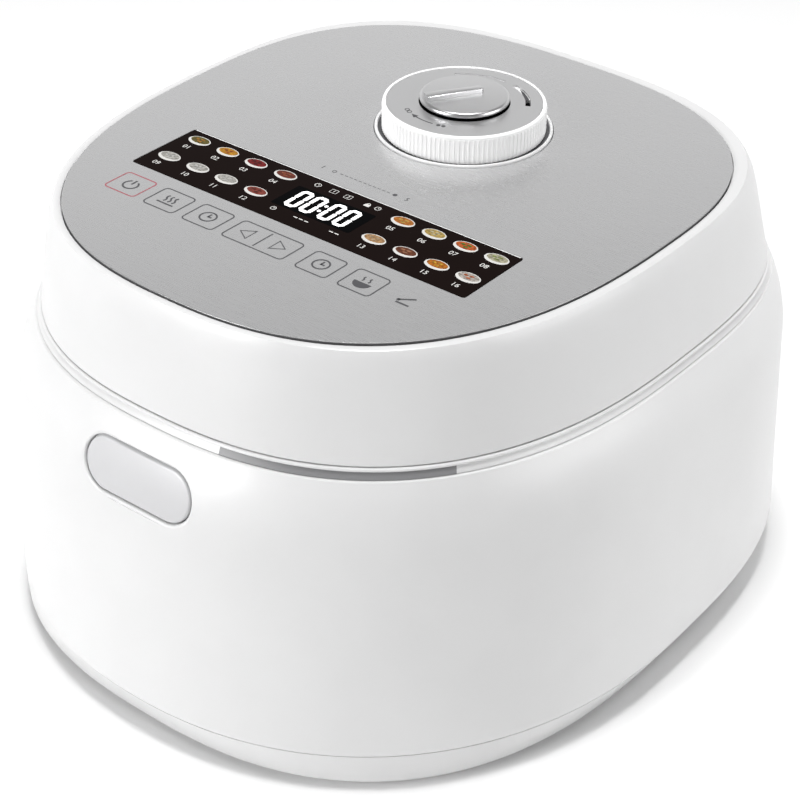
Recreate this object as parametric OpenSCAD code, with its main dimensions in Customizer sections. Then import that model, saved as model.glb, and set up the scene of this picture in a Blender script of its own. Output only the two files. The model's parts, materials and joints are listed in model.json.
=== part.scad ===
// Pressure rice cooker with induction heating, a hinged lid and a turning steam cap.
// The origin is on the ground under the middle of the body; the front faces -Y.

/* [Body] */
// Width over the widest part of the body, just above the base
body_w = 300; // [292:1:360]
// Depth over the widest part of the body
body_d = 333; // [300:1:400]
// Height of the seam between body and lid
seam_z = 142.7; // [136:0.1:175]
// Height of the seam between outer shell and base cover
base_z = 17; // [14:0.5:22]
// Width over the lip at the lid seam
seam_w = 264.6; // [240:0.2:315]
// Wall thickness of the outer shells
wall = 2.6; // [2:0.1:3.2]
// Height of the recessed band under the lip
band_h = 3.2; // [2:0.1:5]

/* [Lid] */
// Height from the lid seam to the top panel
lid_h = 46.3; // [42:0.1:60]
// Width of the top panel
panel_w = 239.3; // [215:0.1:285]
// Depth of the top panel
panel_d = 265.5; // [245:0.1:320]
// Width of the white edge round the panel
panel_edge = 3.4; // [2:0.1:6]
// Thickness of the top panel
panel_t = 2.4; // [2:0.1:4]
// Gap between the lid and the body
lid_gap = 0.8; // [0.5:0.1:1.5]
// Furthest that the lid opens
lid_open = 85; // [60:1:88]

/* [Display and keys] */
// Width of the dark display window
window_w = 168.6; // [150:0.2:185]
// Depth of the dark display window
window_d = 37.4; // [30:0.2:42]
// Distance of the window's middle in front of the body's middle
window_front = 48.3; // [44:0.1:52]
// Distance of the row of touch keys in front of the body's middle
keys_front = 81.8; // [78:0.1:90]

/* [Steam cap] */
// Distance of the cap's axis behind the body's middle
cap_back = 44.8; // [40:0.1:55]
// Diameter of the ribbed ring
ring_d = 69.2; // [57:0.1:76]
// Height of the ribbed ring above the panel
ring_h = 12.1; // [9:0.1:18]
// Number of grip ribs
ring_ribs = 108; // [48:4:140]
// Diameter of the turning disc in the ring
disc_d = 38; // [30:0.2:44]

/* [Release button] */
// Width of the button
button_w = 55; // [40:0.5:64]
// Height of the button
button_h = 22.6; // [16:0.2:26]
// Height of the button's middle above the ground
button_z = 118.5; // [112:0.5:121]
// Travel of the button
button_travel = 3.5; // [2:0.1:4.5]

/* [Pot] */
// Inside diameter of the inner pot
pot_d = 212; // [176:1:222]
// Wall thickness of the inner pot
pot_wall = 2; // [1.5:0.1:3]
// Height of the pot's bottom above the ground
pot_low = 34; // [33:0.5:40]
// Distance of the pot's axis in front of the body's middle
pot_front = 8; // [6:0.5:12]

/* [Hinge] */
// Diameter of the hinge pin
hinge_pin_d = 6; // [4:0.5:8]
// Distance of the hinge axis behind the body's middle
hinge_back = 149; // [147:0.5:175]
// Distance of the hinge axis under the lid seam
hinge_drop = 5.7; // [5:0.1:8]

/* [Fits] */
// Radial clearance of a turning fit
running_fit = 0.05; // [0.02:0.01:0.1]
// Gap between pieces that sit in each other
seat_gap = 0.3; // [0.2:0.05:0.5]

/* [Hidden] */
$fn = 96;

// ---- colours
white = [0.95, 0.95, 0.95];
pale_grey = [0.82, 0.82, 0.83];
mid_grey = [0.55, 0.55, 0.56];
dark_grey = [0.25, 0.25, 0.27];
near_black = [0.08, 0.07, 0.07];
silver = [0.72, 0.72, 0.74];
steel = [0.62, 0.63, 0.65];
copper = [0.72, 0.38, 0.2];
board_green = [0.1, 0.35, 0.2];
rubber_grey = [0.35, 0.35, 0.36];

// ---- plan outlines: [half width, front reach, rear reach, y of the widest line, front power, rear power]
outline_steps = 64;
panel_z = seam_z + lid_h;
panel_plan = [panel_w / 2, panel_d * 0.575, panel_d * 0.425, 16.7, 2.52, 2.68];
seam_d = body_d - 39.2;
seam_plan = [seam_w / 2, seam_d * 0.54, seam_d * 0.46, 12.5, 2.45, 3.1];
base_plan = [body_w / 2, body_d * 0.495, body_d * 0.505, -1.7, 2.18, 2.88];

// ---- height profile of the side walls
flare = 0.0645;
shoulder_low = seam_z - 34.7;
shoulder_in = body_w / 2 - flare * (seam_z - base_z) - seam_w / 2;
band_z = seam_z - band_h;
function shoulder(z) = z < shoulder_low ? 0
    : shoulder_in * pow((z - shoulder_low) / (seam_z - shoulder_low), 2.2);
function body_half(z) = body_w / 2 - flare * (z - base_z) - shoulder(z);
function lid_half(z) = let(t = (z - seam_z) / lid_h)
    seam_w / 2 - (seam_w / 2 - panel_w / 2 - panel_edge) * (0.78 * t + 0.22 * pow(t, 12));
function mix(p, q, t) = p + (q - p) * t;
function body_plan(z) = mix(seam_plan, base_plan, (body_half(z) - seam_w / 2) / (body_w / 2 - seam_w / 2));
function lid_plan(z) = mix(panel_plan, seam_plan, (lid_half(z) - panel_w / 2) / (seam_w / 2 - panel_w / 2));
function inset(p, d) = [p[0] - d, p[1] - d, p[2] - d, p[3], p[4], p[5]];

function reach(t, half, depth, power) =
    pow(pow(abs(cos(t)) / half, power) + pow(abs(sin(t)) / depth, power), -1 / power);
function plan_point(p, t) = let(
    front = sin(t) < 0,
    r = reach(t, p[0], front ? p[1] : p[2], front ? p[4] : p[5]))
    [r * cos(t), p[3] + r * sin(t)];
function outline(p) = [for (i = [0:outline_steps - 1]) plan_point(p, 360 * i / outline_steps)];
function ring_at(p, z) = [for (q = outline(p)) [q[0], q[1], z]];
function front_y(p, x) = p[3] - p[1] * pow(1 - pow(abs(x) / p[0], p[4]), 1 / p[4]);
function rear_y(p, x) = p[3] + p[2] * pow(1 - pow(abs(x) / p[0], p[5]), 1 / p[5]);

// A skin through a list of rings. Closed, the last ring joins the first; open, both ends are capped.
module skin(rings, closed = false) {
    n = len(rings[0]);
    m = len(rings);
    sides = [for (k = [0:closed ? m - 1 : m - 2], i = [0:n - 1])
        let(j = (i + 1) % n, a = k * n + i, b = k * n + j, c = (k + 1) % m * n + j, d = (k + 1) % m * n + i)
        each [[a, c, b], [a, d, c]]];
    ends = closed ? [] : [[for (i = [0:n - 1]) i], [for (i = [n - 1:-1:0]) (m - 1) * n + i]];
    polyhedron(points = [for (r = rings) each r], faces = concat(sides, ends));
}
module slab(p, low, high) {
    translate([0, 0, low]) linear_extrude(high - low) polygon(outline(p));
}
module tube(r_out, r_in, low, high) {
    translate([0, 0, low]) difference() {
        cylinder(r = r_out, h = high - low);
        translate([0, 0, -1]) cylinder(r = r_in, h = high - low + 2);
    }
}
module disc(r, low, high) {
    translate([0, 0, low]) cylinder(r = r, h = high - low);
}
module stadium(w, h) {
    for (side = [-1, 1]) translate([side * (w - h) / 2, 0]) circle(d = h);
    square([w - h, h], center = true);
}
module rounded(w, d, r) {
    square([w - 2 * r, d], center = true);
    square([w, d - 2 * r], center = true);
    for (x = [-1, 1], y = [-1, 1]) translate([x * (w / 2 - r), y * (d / 2 - r)]) circle(r = r);
}
// Compression spring standing on the plane z = 0
module coil(r, wire, height, turns, steps, sides = 6) {
    skin([for (i = [0:turns * steps]) let(t = 360 * i / steps,
        z = mix(wire, height - wire, i / (turns * steps)))
        [for (k = [0:sides - 1]) let(a = 360 * k / sides, q = r + wire * cos(a))
            [q * cos(t), q * sin(t), z + wire * sin(a)]]]);
}
module at_pot() {
    translate([0, -pot_front, 0]) children();
}
module at_cap() {
    translate([0, cap_back, 0]) children();
}
module along_x(x, y, z) {
    translate([x, y, z]) rotate([0, 90, 0]) children();
}
module along_y(x, y, z) {
    translate([x, y, z]) rotate([-90, 0, 0]) children();
}

// ---- body sizes
shell_top = band_z - 0.2;
lip_h = 1.1;
deck_z = seam_z - 2.7;
deck_t = 4;
pot_r = pot_d / 2;
pot_out = pot_r + pot_wall;
rest_z = deck_z - 1.6;
flange_r = pot_out + 5.2;
liner_in = pot_out + 3;
liner_out = liner_in + 2.5;
liner_low = pot_low - 6;
deck_hole = liner_out + seat_gap;
floor_z = 2.8;
floor_t = 2.6;
floor_top = floor_z + floor_t;
corner_r = 34;
sensor_r = 15;
coil_top = liner_low - 2.5 - seat_gap;
coil_t = 4;
coil_in = 24;
coil_out = liner_out - 35.5;
tray_t = 2.4;
ferrite_t = 5;
tray_top = coil_top - coil_t - seat_gap;
tray_low = tray_top - tray_t;
boss_r = 4.5;
screw_r = 1.6;
head_r = 3.2;
screw_x = seam_w / 2 - 16.3;
screw_y = 66;
screw_places = [[-screw_x, -screw_y], [screw_x, -screw_y], [-screw_x, screw_y], [screw_x, screw_y]];
post_low = floor_z + 11;

// ---- button and latch sizes
button_face = 0.6;
button_body = 6;
button_y = front_y(body_plan(button_z), 0);
push_z = button_z - 5;
lever_z = button_z + 6;
lever_t = 3;
lever_room = 4.5;
latch_pin_r = 2;
nose_l = 1.6;
nose_z = deck_z - deck_t - 3.2;
striker_t = 1.6;
striker_w = 14;
latch_reach = lever_t / 2 + nose_l + seat_gap + striker_t / 2;
striker_y = max(button_y + button_body + button_travel + lever_room + latch_reach,
    front_y(inset(seam_plan, wall + 0.6), striker_w / 2 + 2) + striker_t / 2 + 1.2);
lever_y = striker_y - latch_reach;
striker_low = nose_z - 4;
guide_y = striker_y + 4;

// ---- hinge sizes
hinge_z = seam_z - hinge_drop;
pin_r = hinge_pin_d / 2;
knuckle_r = pin_r + 2.6;
notch_w = 116;
arm_x = 38;
arm_w = 13;
ear_x = 52;
ear_w = 6;
bracket_z = hinge_z - knuckle_r - 1.4;

// ---- lid sizes
lid_low = seam_z + lid_gap;
ledge_z = panel_z - panel_t;
ledge_w = 5;
liner_top = lid_low + 7;
liner_seat = lid_low + 4.3;
frame_z = lid_low + 24;
frame_t = 2.2;
board_z = ledge_z - 6.4;
board_t = 1.6;
housing_r = 27;
cap_in = ring_d / 2 - 1.7;
bezel_r = ring_d / 2 + 3;
ring_low = panel_z + 0.6;
ring_top = panel_z + ring_h;
face_z = ring_top - 1.1;
face_t = 0.8;
disc_low = face_z + face_t;
disc_h = 3.3;
bar_h = 2.2;
bar_angle = 58;
hub_r = 9;
hub_low = ring_low - 14;
spindle_r = 5;
seat_z = liner_top + 7;
ball_r = 4.5;

// ======== Body ========

// Moulded white outer shell, a barrel that is open at the top and the bottom
module outer_shell() {
    levels = [base_z, base_z + 8, 50, 80, shoulder_low, seam_z - 22, seam_z - 14, seam_z - 8.5,
        shell_top - 1.6, shell_top - 0.5];
    color(white) difference() {
        skin(concat(
            [ring_at(inset(body_plan(base_z), 0.8), base_z), ring_at(body_plan(base_z + 1), base_z + 1)],
            [for (z = levels) if (z > base_z + 1) ring_at(body_plan(z), z)],
            [ring_at(inset(seam_plan, -1.2), shell_top), ring_at(inset(seam_plan, wall - 1), shell_top)],
            [ring_at(inset(seam_plan, wall - 1), shell_top - 1.8)],
            [for (i = [len(levels) - 1:-1:0]) if (levels[i] < shell_top - 4)
                ring_at(inset(body_plan(levels[i]), wall), levels[i])]
        ), closed = true);
        button_hole();
        rear_openings();
    }
}
module button_hole() {
    along_y(0, button_y - 5, button_z) linear_extrude(14)
        stadium(button_w + 2 * seat_gap, button_h + 2 * seat_gap);
}
inlet_x = 50;
inlet_z = 46;
inlet_w = 30;
inlet_h = 24;
inlet_plan = inset(body_plan(inlet_z + inlet_h / 2), 0.4);
inlet_y = rear_y(inlet_plan, inlet_x + inlet_w / 2) - 19;
module rear_openings() {
    translate([-notch_w / 2, hinge_back - 19, bracket_z - 3]) cube([notch_w, 60, 40]);
    along_y(inlet_x, inlet_y, inlet_z) linear_extrude(60)
        rounded(inlet_w + 2 * seat_gap, inlet_h + 2 * seat_gap, 3);
}

// Upper frame: the lip that shows at the lid seam, the band under it and the deck round the pot
module rim_ring() {
    color(white) difference() {
        union() {
            slab(inset(seam_plan, 0.6 + wall), deck_z - deck_t, deck_z);
            for (p = screw_places) translate([p[0], p[1], post_low])
                cylinder(r = boss_r, h = deck_z - deck_t + 0.5 - post_low);
            difference() {
                union() {
                    slab(inset(seam_plan, 0.5), band_z, seam_z - lip_h);
                    slab(seam_plan, seam_z - lip_h, seam_z - 0.3);
                    slab(inset(seam_plan, 0.4), seam_z - 0.3, seam_z);
                }
                slab(inset(seam_plan, 3.2), band_z - 1, seam_z + 1);
            }
        }
        at_pot() disc(deck_hole, 0, seam_z + 1);
        translate([-notch_w / 2, hinge_back - 19, 0]) cube([notch_w, 60, seam_z + 5]);
        translate([-striker_w / 2 - 1.5, striker_y - 2, deck_z - 10]) cube([striker_w + 3, 5, 20]);
        for (p = screw_places) translate([p[0], p[1], 0])
            cylinder(r = screw_r + 0.05, h = deck_z - 6, $fn = 32);
        insert_strip(0.55 + seat_gap, band_z - 1, seam_z - lip_h + 0.05, 0.4);
    }
}

// The grey inlay in the band, from just right of the button to the right-hand side
insert_from = -78.3;
insert_to = -46.2;
module insert_strip(depth, low, high, spare) {
    steps = 24;
    function edge(d, extra) = [for (i = [0:steps])
        plan_point(inset(seam_plan, d), mix(insert_from - extra, insert_to + extra, i / steps))];
    outer = edge(0.15, spare * 0.4);
    inner = edge(depth + 0.9, spare * 0.4);
    translate([0, 0, low]) linear_extrude(high - low)
        polygon(concat(outer, [for (i = [steps:-1:0]) inner[i]]));
}
module rim_insert() {
    color(mid_grey) insert_strip(0.55, band_z + 0.1, seam_z - lip_h - 0.15, 0);
}

// Tray-shaped bottom, tapering in to the ground, with air slots under the fan
rear_wall = rear_y(base_plan, 0);
foot_x = body_w / 2 - 54;
foot_y = [68.5 - rear_wall, rear_wall - 50.5];
foot_r = 9;
fan_x = 56 - screw_x;
fan_y = rear_wall - 67.5;
fan_w = 60;
fan_h = 15;
fan_low = floor_top + 1.2;
base_step = 0.9;
bottom_edge = 1.3;
bottom_plan = [base_plan[0] - 7.7, base_plan[1] - 0.4, base_plan[2] - 13.4, base_plan[3] + 5.8, 2.54,
    base_plan[5]];
module base_cover() {
    top = base_z - 0.4;
    color(pale_grey) difference() {
        union() {
            skin([
                ring_at(inset(bottom_plan, 1.5), floor_z), ring_at(inset(bottom_plan, 0.4), floor_z + 0.5),
                ring_at(bottom_plan, floor_z + bottom_edge),
                ring_at(mix(bottom_plan, inset(base_plan, base_step), 0.5),
                    mix(floor_z + bottom_edge, top, 0.5)),
                ring_at(inset(base_plan, base_step), top), ring_at(inset(base_plan, wall + 1.1), top),
                ring_at(inset(base_plan, wall + 1.4), top + 4),
                    ring_at(inset(base_plan, wall + 3.2), top + 4),
                ring_at(inset(base_plan, wall + 3.2), top),
                    ring_at(inset(base_plan, wall + 8), floor_top + 3),
                ring_at(inset(base_plan, wall + 11), floor_top)
            ]);
            for (p = screw_places) translate([p[0], p[1], floor_z + 0.5])
                cylinder(r = boss_r, h = post_low - seat_gap - floor_z - 0.5);
            for (x = [-1, 1], y = [-1, 1]) translate([fan_x + x * 25, fan_y + y * 25, floor_top - 0.5])
                cylinder(r = 3, h = fan_low - floor_top + 0.5, $fn = 32);
            at_pot() tube(coil_in - 4, coil_in - 7, floor_top - 0.5, tray_low);
            for (x = [board_x[0] + 4, board_x[1] - 12]) translate([x, board_y - 3, floor_top - 0.5])
                cube([8, 8, board_zs[0] - floor_top + 6]);
        }
        translate([board_x[0] - 1, board_y - seat_gap / 2, board_zs[0] - seat_gap / 2])
            cube([board_x[1] - board_x[0] + 2, board_t + seat_gap, 20]);
        for (p = screw_places) translate([p[0], p[1], 0]) {
            cylinder(r = head_r + 0.4, h = floor_z + 3);
            cylinder(r = screw_r + 0.05, h = 40);
        }
        for (x = [-1, 1], y = foot_y) translate([x * foot_x, y, 0]) cylinder(r = foot_r, h = floor_z + 1.2);
        for (i = [-4:4]) let(w = sqrt(pow(fan_w / 2 - 1, 2) - pow(i * 6, 2)) * 2)
            translate([fan_x + i * 6, fan_y, 0]) linear_extrude(floor_top + 1) rotate(90) stadium(w, 3);
        for (i = [-5:5]) at_pot() translate([i * 7, -62, 0]) linear_extrude(floor_top + 1) rotate(90)
            stadium(30, 3);
    }
}
module feet() {
    color(rubber_grey) for (x = [-1, 1], y = foot_y) translate([x * foot_x, y, 0]) rotate_extrude()
        polygon([[0, 0], [foot_r - 1.5, 0], [foot_r - 0.3, 1.2], [foot_r - 0.3, floor_z + 1.2],
            [0, floor_z + 1.2]]);
}
module base_screws() {
    color(steel) for (p = screw_places) translate([p[0], p[1], floor_z + 3]) rotate_extrude($fn = 32)
        polygon([[0, -1.6], [head_r * 0.7, -1.9], [head_r, -0.6], [head_r, 0], [screw_r, 0], [screw_r, 15],
            [0, 16]]);
}

// ======== Pot and heating ========

function arc_points(cx, cz, r, from, to, steps) =
    [for (i = [0:steps]) let(t = mix(from, to, i / steps)) [cx + r * cos(t), cz + r * sin(t)]];

// Coated pot with a rolled flange, which lifts out when the lid is open
module inner_pot() {
    inner_low = pot_low + pot_wall;
    color(dark_grey) at_pot() rotate_extrude($fn = 128) polygon(concat(
        [[0, pot_low]],
        arc_points(pot_out - corner_r, pot_low + corner_r, corner_r, -90, 0, 10),
        [[pot_out, rest_z], [flange_r - 0.6, rest_z], [flange_r, rest_z + 0.6], [flange_r, rest_z + 1.4],
            [flange_r - 0.6, rest_z + 1.8], [pot_r + 1.2, rest_z + 1.8], [pot_r, rest_z + 0.6]],
        arc_points(pot_r - corner_r + pot_wall, inner_low + corner_r - pot_wall, corner_r - pot_wall, 0,
            -90, 10),
        [[0, inner_low]]
    ));
}

// Heat-proof bowl that the pot stands in
module pot_liner() {
    r = corner_r + 6;
    color(pale_grey) at_pot() rotate_extrude($fn = 128) polygon(concat(
        [[sensor_r + 1.5, liner_low - 2.5]],
        arc_points(liner_out - r, liner_low - 2.5 + r, r, -90, 0, 8),
        [[liner_out, deck_z - deck_t - 4.6], [liner_out + 6, deck_z - deck_t - 2.5 - seat_gap],
            [liner_out + 6, deck_z - deck_t - seat_gap], [liner_out, deck_z - deck_t - seat_gap],
            [liner_out, rest_z], [pot_out + 1.2, rest_z], [pot_out + 1.2, rest_z - 3],
                [liner_in, rest_z - 6]],
        arc_points(liner_out - r, liner_low - 2.5 + r, r - 2.5, 0, -90, 8),
        [[sensor_r + 1.5, liner_low]]
    ));
}

// Flat winding of stranded wire, drawn with a ridge for each turn
module induction_coil() {
    pitch = 4.5;
    turns = floor((coil_out - coil_in) / pitch);
    color(copper) at_pot() rotate_extrude() polygon(concat(
        [[coil_in, coil_top - coil_t + 0.8]],
        [for (i = [0:turns - 1]) each [
            [coil_in + (i + 0.25) * pitch, coil_top - coil_t],
                [coil_in + (i + 0.75) * pitch, coil_top - coil_t],
            [coil_in + (i + 1) * pitch, coil_top - coil_t + 0.8]]],
        [for (i = [turns - 1:-1:0]) each [
            [coil_in + (i + 1) * pitch, coil_top - 0.8], [coil_in + (i + 0.75) * pitch, coil_top],
            [coil_in + (i + 0.25) * pitch, coil_top]]],
        [[coil_in, coil_top - 0.8]]
    ));
}
ferrites = 8;
ferrite_l = coil_out - coil_in - 4;
module ferrite_bars() {
    color(dark_grey) at_pot() for (i = [0:ferrites - 1]) rotate(360 / ferrites * (i + 0.5))
        translate([coil_in + 2, -6, tray_low - ferrite_t]) cube([ferrite_l, 12, ferrite_t - 0.1]);
}
module coil_tray() {
    color(near_black) at_pot() {
        tube(coil_out + 3, coil_in - 7, tray_low, tray_top);
        tube(coil_out + 3, coil_out + 1, tray_top - 0.01, coil_top);
        for (i = [0:ferrites - 1]) rotate(360 / ferrites * (i + 0.5)) for (side = [-1, 1])
            translate([coil_in + 2, side * 7.3 - 1, tray_low - ferrite_t])
                cube([ferrite_l, 2, ferrite_t + 0.01]);
    }
}
module keep_warm_belt() {
    color(silver) at_pot() tube(liner_out + seat_gap + 1.2, liner_out + seat_gap, 86, 112);
}

// Spring-loaded temperature sensor that touches the pot's bottom
module thermal_sensor() {
    color(steel) at_pot() {
        rotate_extrude()
            polygon([[0, pot_low - 2.2], [sensor_r - 2, pot_low - 2.2], [sensor_r, pot_low - 3.2],
            [sensor_r, pot_low - 7], [sensor_r - 1.2, pot_low - 7], [sensor_r - 1.2, pot_low - 4],
                [0, pot_low - 4]]);
        tube(4, 2.6, floor_top + 5, pot_low - 3.9);
    }
}
module sensor_spring() {
    low = floor_top + 0.2;
    color(steel) at_pot() translate([0, 0, low]) coil(6.5, 0.55, pot_low - 4.2 - low, 5, 18);
}

// ======== Electrics in the body ========

board_x = [-18, 104];
board_zs = [24, 106];
part_corners = [[91, 83, 15], [92, 101, 13], [60, 102, 15], [32, 90, 20]];
board_room = [for (c = part_corners)
    rear_y(inset(body_plan(c[1]), wall + 1), c[0]) - c[2] - board_t];
board_y = min(rear_wall - 42.5, min(board_room));
module power_board() {
    color(board_green) difference() {
        translate([board_x[0], board_y, board_zs[0]])
            cube([board_x[1] - board_x[0], board_t, board_zs[1] - board_zs[0]]);
        for (x = [board_x[0] + 6, board_x[1] - 6], z = [board_zs[0] + 6, board_zs[1] - 6])
            along_y(x, board_y - 1, z) cylinder(r = 1.8, h = 4, $fn = 32);
    }
}
module board_parts() {
    back = board_y + board_t;
    color(near_black) {
        for (i = [0:2]) along_y(84 - 17 * i, back, 76) cylinder(r = 7, h = 15);
        translate([66, back, 88]) cube([26, 13, 14]);
    }
    color("goldenrod") translate([38, back, 87]) cube([22, 15, 15]);
}
module heat_sink() {
    fins = 9;
    w = 46;
    color(silver) translate([board_x[0] + 4, board_y + board_t, 46]) {
        cube([w, 4, 44]);
        for (i = [0:fins - 1]) translate([i * (w - 1.4) / (fins - 1), 3.9, 0]) cube([1.4, 16, 44]);
    }
}
module fan_frame() {
    color(near_black) translate([fan_x, fan_y, fan_low]) difference() {
        linear_extrude(fan_h) rounded(fan_w, fan_w, 4);
        translate([0, 0, 2]) cylinder(r = fan_w / 2 - 2, h = fan_h);
        translate([0, 0, -1]) difference() {
            cylinder(r = fan_w / 2 - 2, h = 4);
            cylinder(r = 10, h = 4);
            for (i = [0:2]) rotate(120 * i + 20) translate([0, -1.5, 0]) cube([fan_w, 3, 4]);
        }
        for (x = [-1, 1], y = [-1, 1]) translate([x * 25, y * 25, -1])
            cylinder(r = 2, h = fan_h + 2, $fn = 32);
    }
}
module fan_rotor() {
    blades = 7;
    hub = 11;
    color(dark_grey) translate([fan_x, fan_y, fan_low + 2.8]) {
        cylinder(r = hub, h = fan_h - 4);
        for (i = [0:blades - 1]) rotate(360 / blades * i) intersection() {
            rotate([32, 0, 0]) translate([hub - 2, -7.5, 2.6]) cube([fan_w / 2 - hub, 15, 1.2]);
            difference() {
                cylinder(r = fan_w / 2 - 3, h = fan_h - 4);
                translate([0, 0, -1]) cylinder(r = hub - 1, h = fan_h);
            }
        }
    }
}
// Socket for a mains lead, its face following the rear wall
module inlet_housing() {
    color(near_black) difference() {
        intersection() {
            along_y(inlet_x, inlet_y, inlet_z) linear_extrude(40) rounded(inlet_w, inlet_h, 3);
            slab(inlet_plan, inlet_z - inlet_h, inlet_z + inlet_h);
        }
        along_y(inlet_x, inlet_y + 3, inlet_z) linear_extrude(40) rounded(inlet_w - 5, inlet_h - 6, 2.5);
    }
}
module inlet_pins() {
    color("gold") for (p = [[-7, -2], [7, -2], [0, 3.5]])
        translate([inlet_x + p[0] - 1, inlet_y + 3, inlet_z + p[1] - 2]) cube([2, 12, 4]);
}

// ======== Hinge ========

module hinge_bracket() {
    color(white) difference() {
        union() {
            intersection() {
                slab(inset(body_plan(bracket_z), 0.4), bracket_z - 2.7, bracket_z);
                translate([-notch_w / 2 + seat_gap, hinge_back - 18.7, 0])
                    cube([notch_w - 2 * seat_gap, 60, seam_z]);
            }
            for (side = [-1, 1]) along_x(side * ear_x - ear_w / 2, hinge_back, hinge_z)
                cylinder(r = knuckle_r, h = ear_w);
            for (side = [-1, 1])
                translate([side * ear_x - ear_w / 2, hinge_back - knuckle_r, bracket_z - 0.5])
                cube([ear_w, 2 * knuckle_r, hinge_z - bracket_z + 0.5]);
            translate([-30.5, hinge_back - knuckle_r + 1, bracket_z - 0.5])
                cube([42.5, 2 * knuckle_r - 2, hinge_z - bracket_z]);
            along_x(-30.5, hinge_back, hinge_z) cylinder(r = knuckle_r, h = 42.5);
        }
        along_x(-ear_x - ear_w, hinge_back, hinge_z)
            cylinder(r = pin_r + running_fit, h = 2 * (ear_x + ear_w));
    }
}
module hinge_pin() {
    color(steel) along_x(-ear_x - ear_w / 2, hinge_back, hinge_z)
        cylinder(r = pin_r, h = 2 * ear_x + ear_w);
}
// Closely wound torsion spring between the right arm and the middle knuckle
module hinge_spring() {
    wire = 1;
    coils = 6;
    color(steel) along_x(16, hinge_back, hinge_z) for (i = [0:coils - 1])
        translate([0, 0, i * 2 * wire + wire]) rotate_extrude($fn = 48) translate([pin_r + 0.3 + wire, 0])
            circle(r = wire, $fn = 24);
}

// ======== Release button and latch ========

// Button whose face follows the barrel of the shell; its stem presses on the latch lever
module release_button() {
    steps = 12;
    rows = 8;
    low = button_z - button_h / 2 - 2;
    high = button_z + button_h / 2 + 2;
    reach_x = button_w / 2 + 3;
    back = button_y + button_body;
    tip_r = 1.5;
    tip_y = lever_y - lever_t / 2 - seat_gap - tip_r;
    function face(z) = concat(
        [for (i = [0:steps]) let(x = mix(-reach_x, reach_x, i / steps))
            [x, front_y(inset(body_plan(z), button_face), x), z]],
        [[reach_x, back, z], [-reach_x, back, z]]);
    color(pale_grey) {
        intersection() {
            skin([for (row = [0:rows]) face(mix(low, high, row / rows))]);
            along_y(0, button_y - 10, button_z) linear_extrude(60) stadium(button_w, button_h);
        }
        translate([-7, back - 0.1, push_z - tip_r]) cube([14, tip_y - back + 0.1, 2 * tip_r]);
        along_x(-7, tip_y, push_z) cylinder(r = tip_r, h = 14, $fn = 48);
    }
}
// Two springs that push the button out again
module button_springs() {
    back = button_y + button_body + 0.2;
    color(steel) for (side = [-1, 1]) translate([side * 21, back, button_z]) rotate([-90, 0, 0])
        coil(3.4, 0.45, guide_y - 0.2 - back, 6, 14);
}
// Guide plate behind the button, which hangs from the deck and carries the lever's pin
module button_guide() {
    w = button_w + 4;
    low = button_z - button_h / 2 - 2;
    cheek_y = button_y + button_body + button_travel + seat_gap;
    color(pale_grey) difference() {
        union() {
            translate([-w / 2, guide_y, low]) cube([w, 2.4, deck_z - deck_t - low]);
            for (side = [-1, 1]) translate([side * 14 - 2, cheek_y, lever_z - 5])
                cube([4, guide_y + 0.1 - cheek_y, 10]);
        }
        along_x(-20, lever_y, lever_z) cylinder(r = latch_pin_r, h = 40, $fn = 48);
    }
}
module latch_pin() {
    color(steel) along_x(-16, lever_y, lever_z) cylinder(r = latch_pin_r, h = 32, $fn = 48);
}
// Rocker whose nose holds the striker; the button's stem tips it
module latch_lever() {
    color(mid_grey) difference() {
        union() {
            along_x(-11, lever_y, lever_z) cylinder(r = latch_pin_r + 1.8, h = 22, $fn = 48);
            translate([-9, lever_y - lever_t / 2, push_z - 3.5])
                cube([18, lever_t, nose_z + 1.6 - push_z + 3.5]);
            translate([-4, lever_y, nose_z - 0.4]) cube([8, lever_t / 2 + nose_l, 2]);
        }
        along_x(-12, lever_y, lever_z) cylinder(r = latch_pin_r + running_fit, h = 24, $fn = 48);
    }
}

// ======== Lid ========

module lid_shell() {
    levels = [for (t = [0, 0.25, 0.5, 0.7, 0.83, 0.92, 0.97, 1]) lid_low + (panel_z - 0.3 - lid_low) * t];
    edge = inset(panel_plan, -0.5);
    color(white) skin(concat(
        [ring_at(inset(lid_plan(lid_low), 0.5), lid_low)],
        [for (i = [1:len(levels) - 1]) ring_at(lid_plan(levels[i]), levels[i])],
        [ring_at(inset(panel_plan, -panel_edge + 0.7), panel_z), ring_at(inset(panel_plan, -0.9), panel_z),
            ring_at(edge, panel_z - 0.4), ring_at(edge, ledge_z),
            ring_at(inset(panel_plan, ledge_w), ledge_z),
                ring_at(inset(panel_plan, ledge_w), ledge_z - 1.8)],
        [for (z = [ledge_z - 3.6, frame_z, lid_low]) ring_at(inset(lid_plan(z), wall), z)]
    ), closed = true);
}

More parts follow.
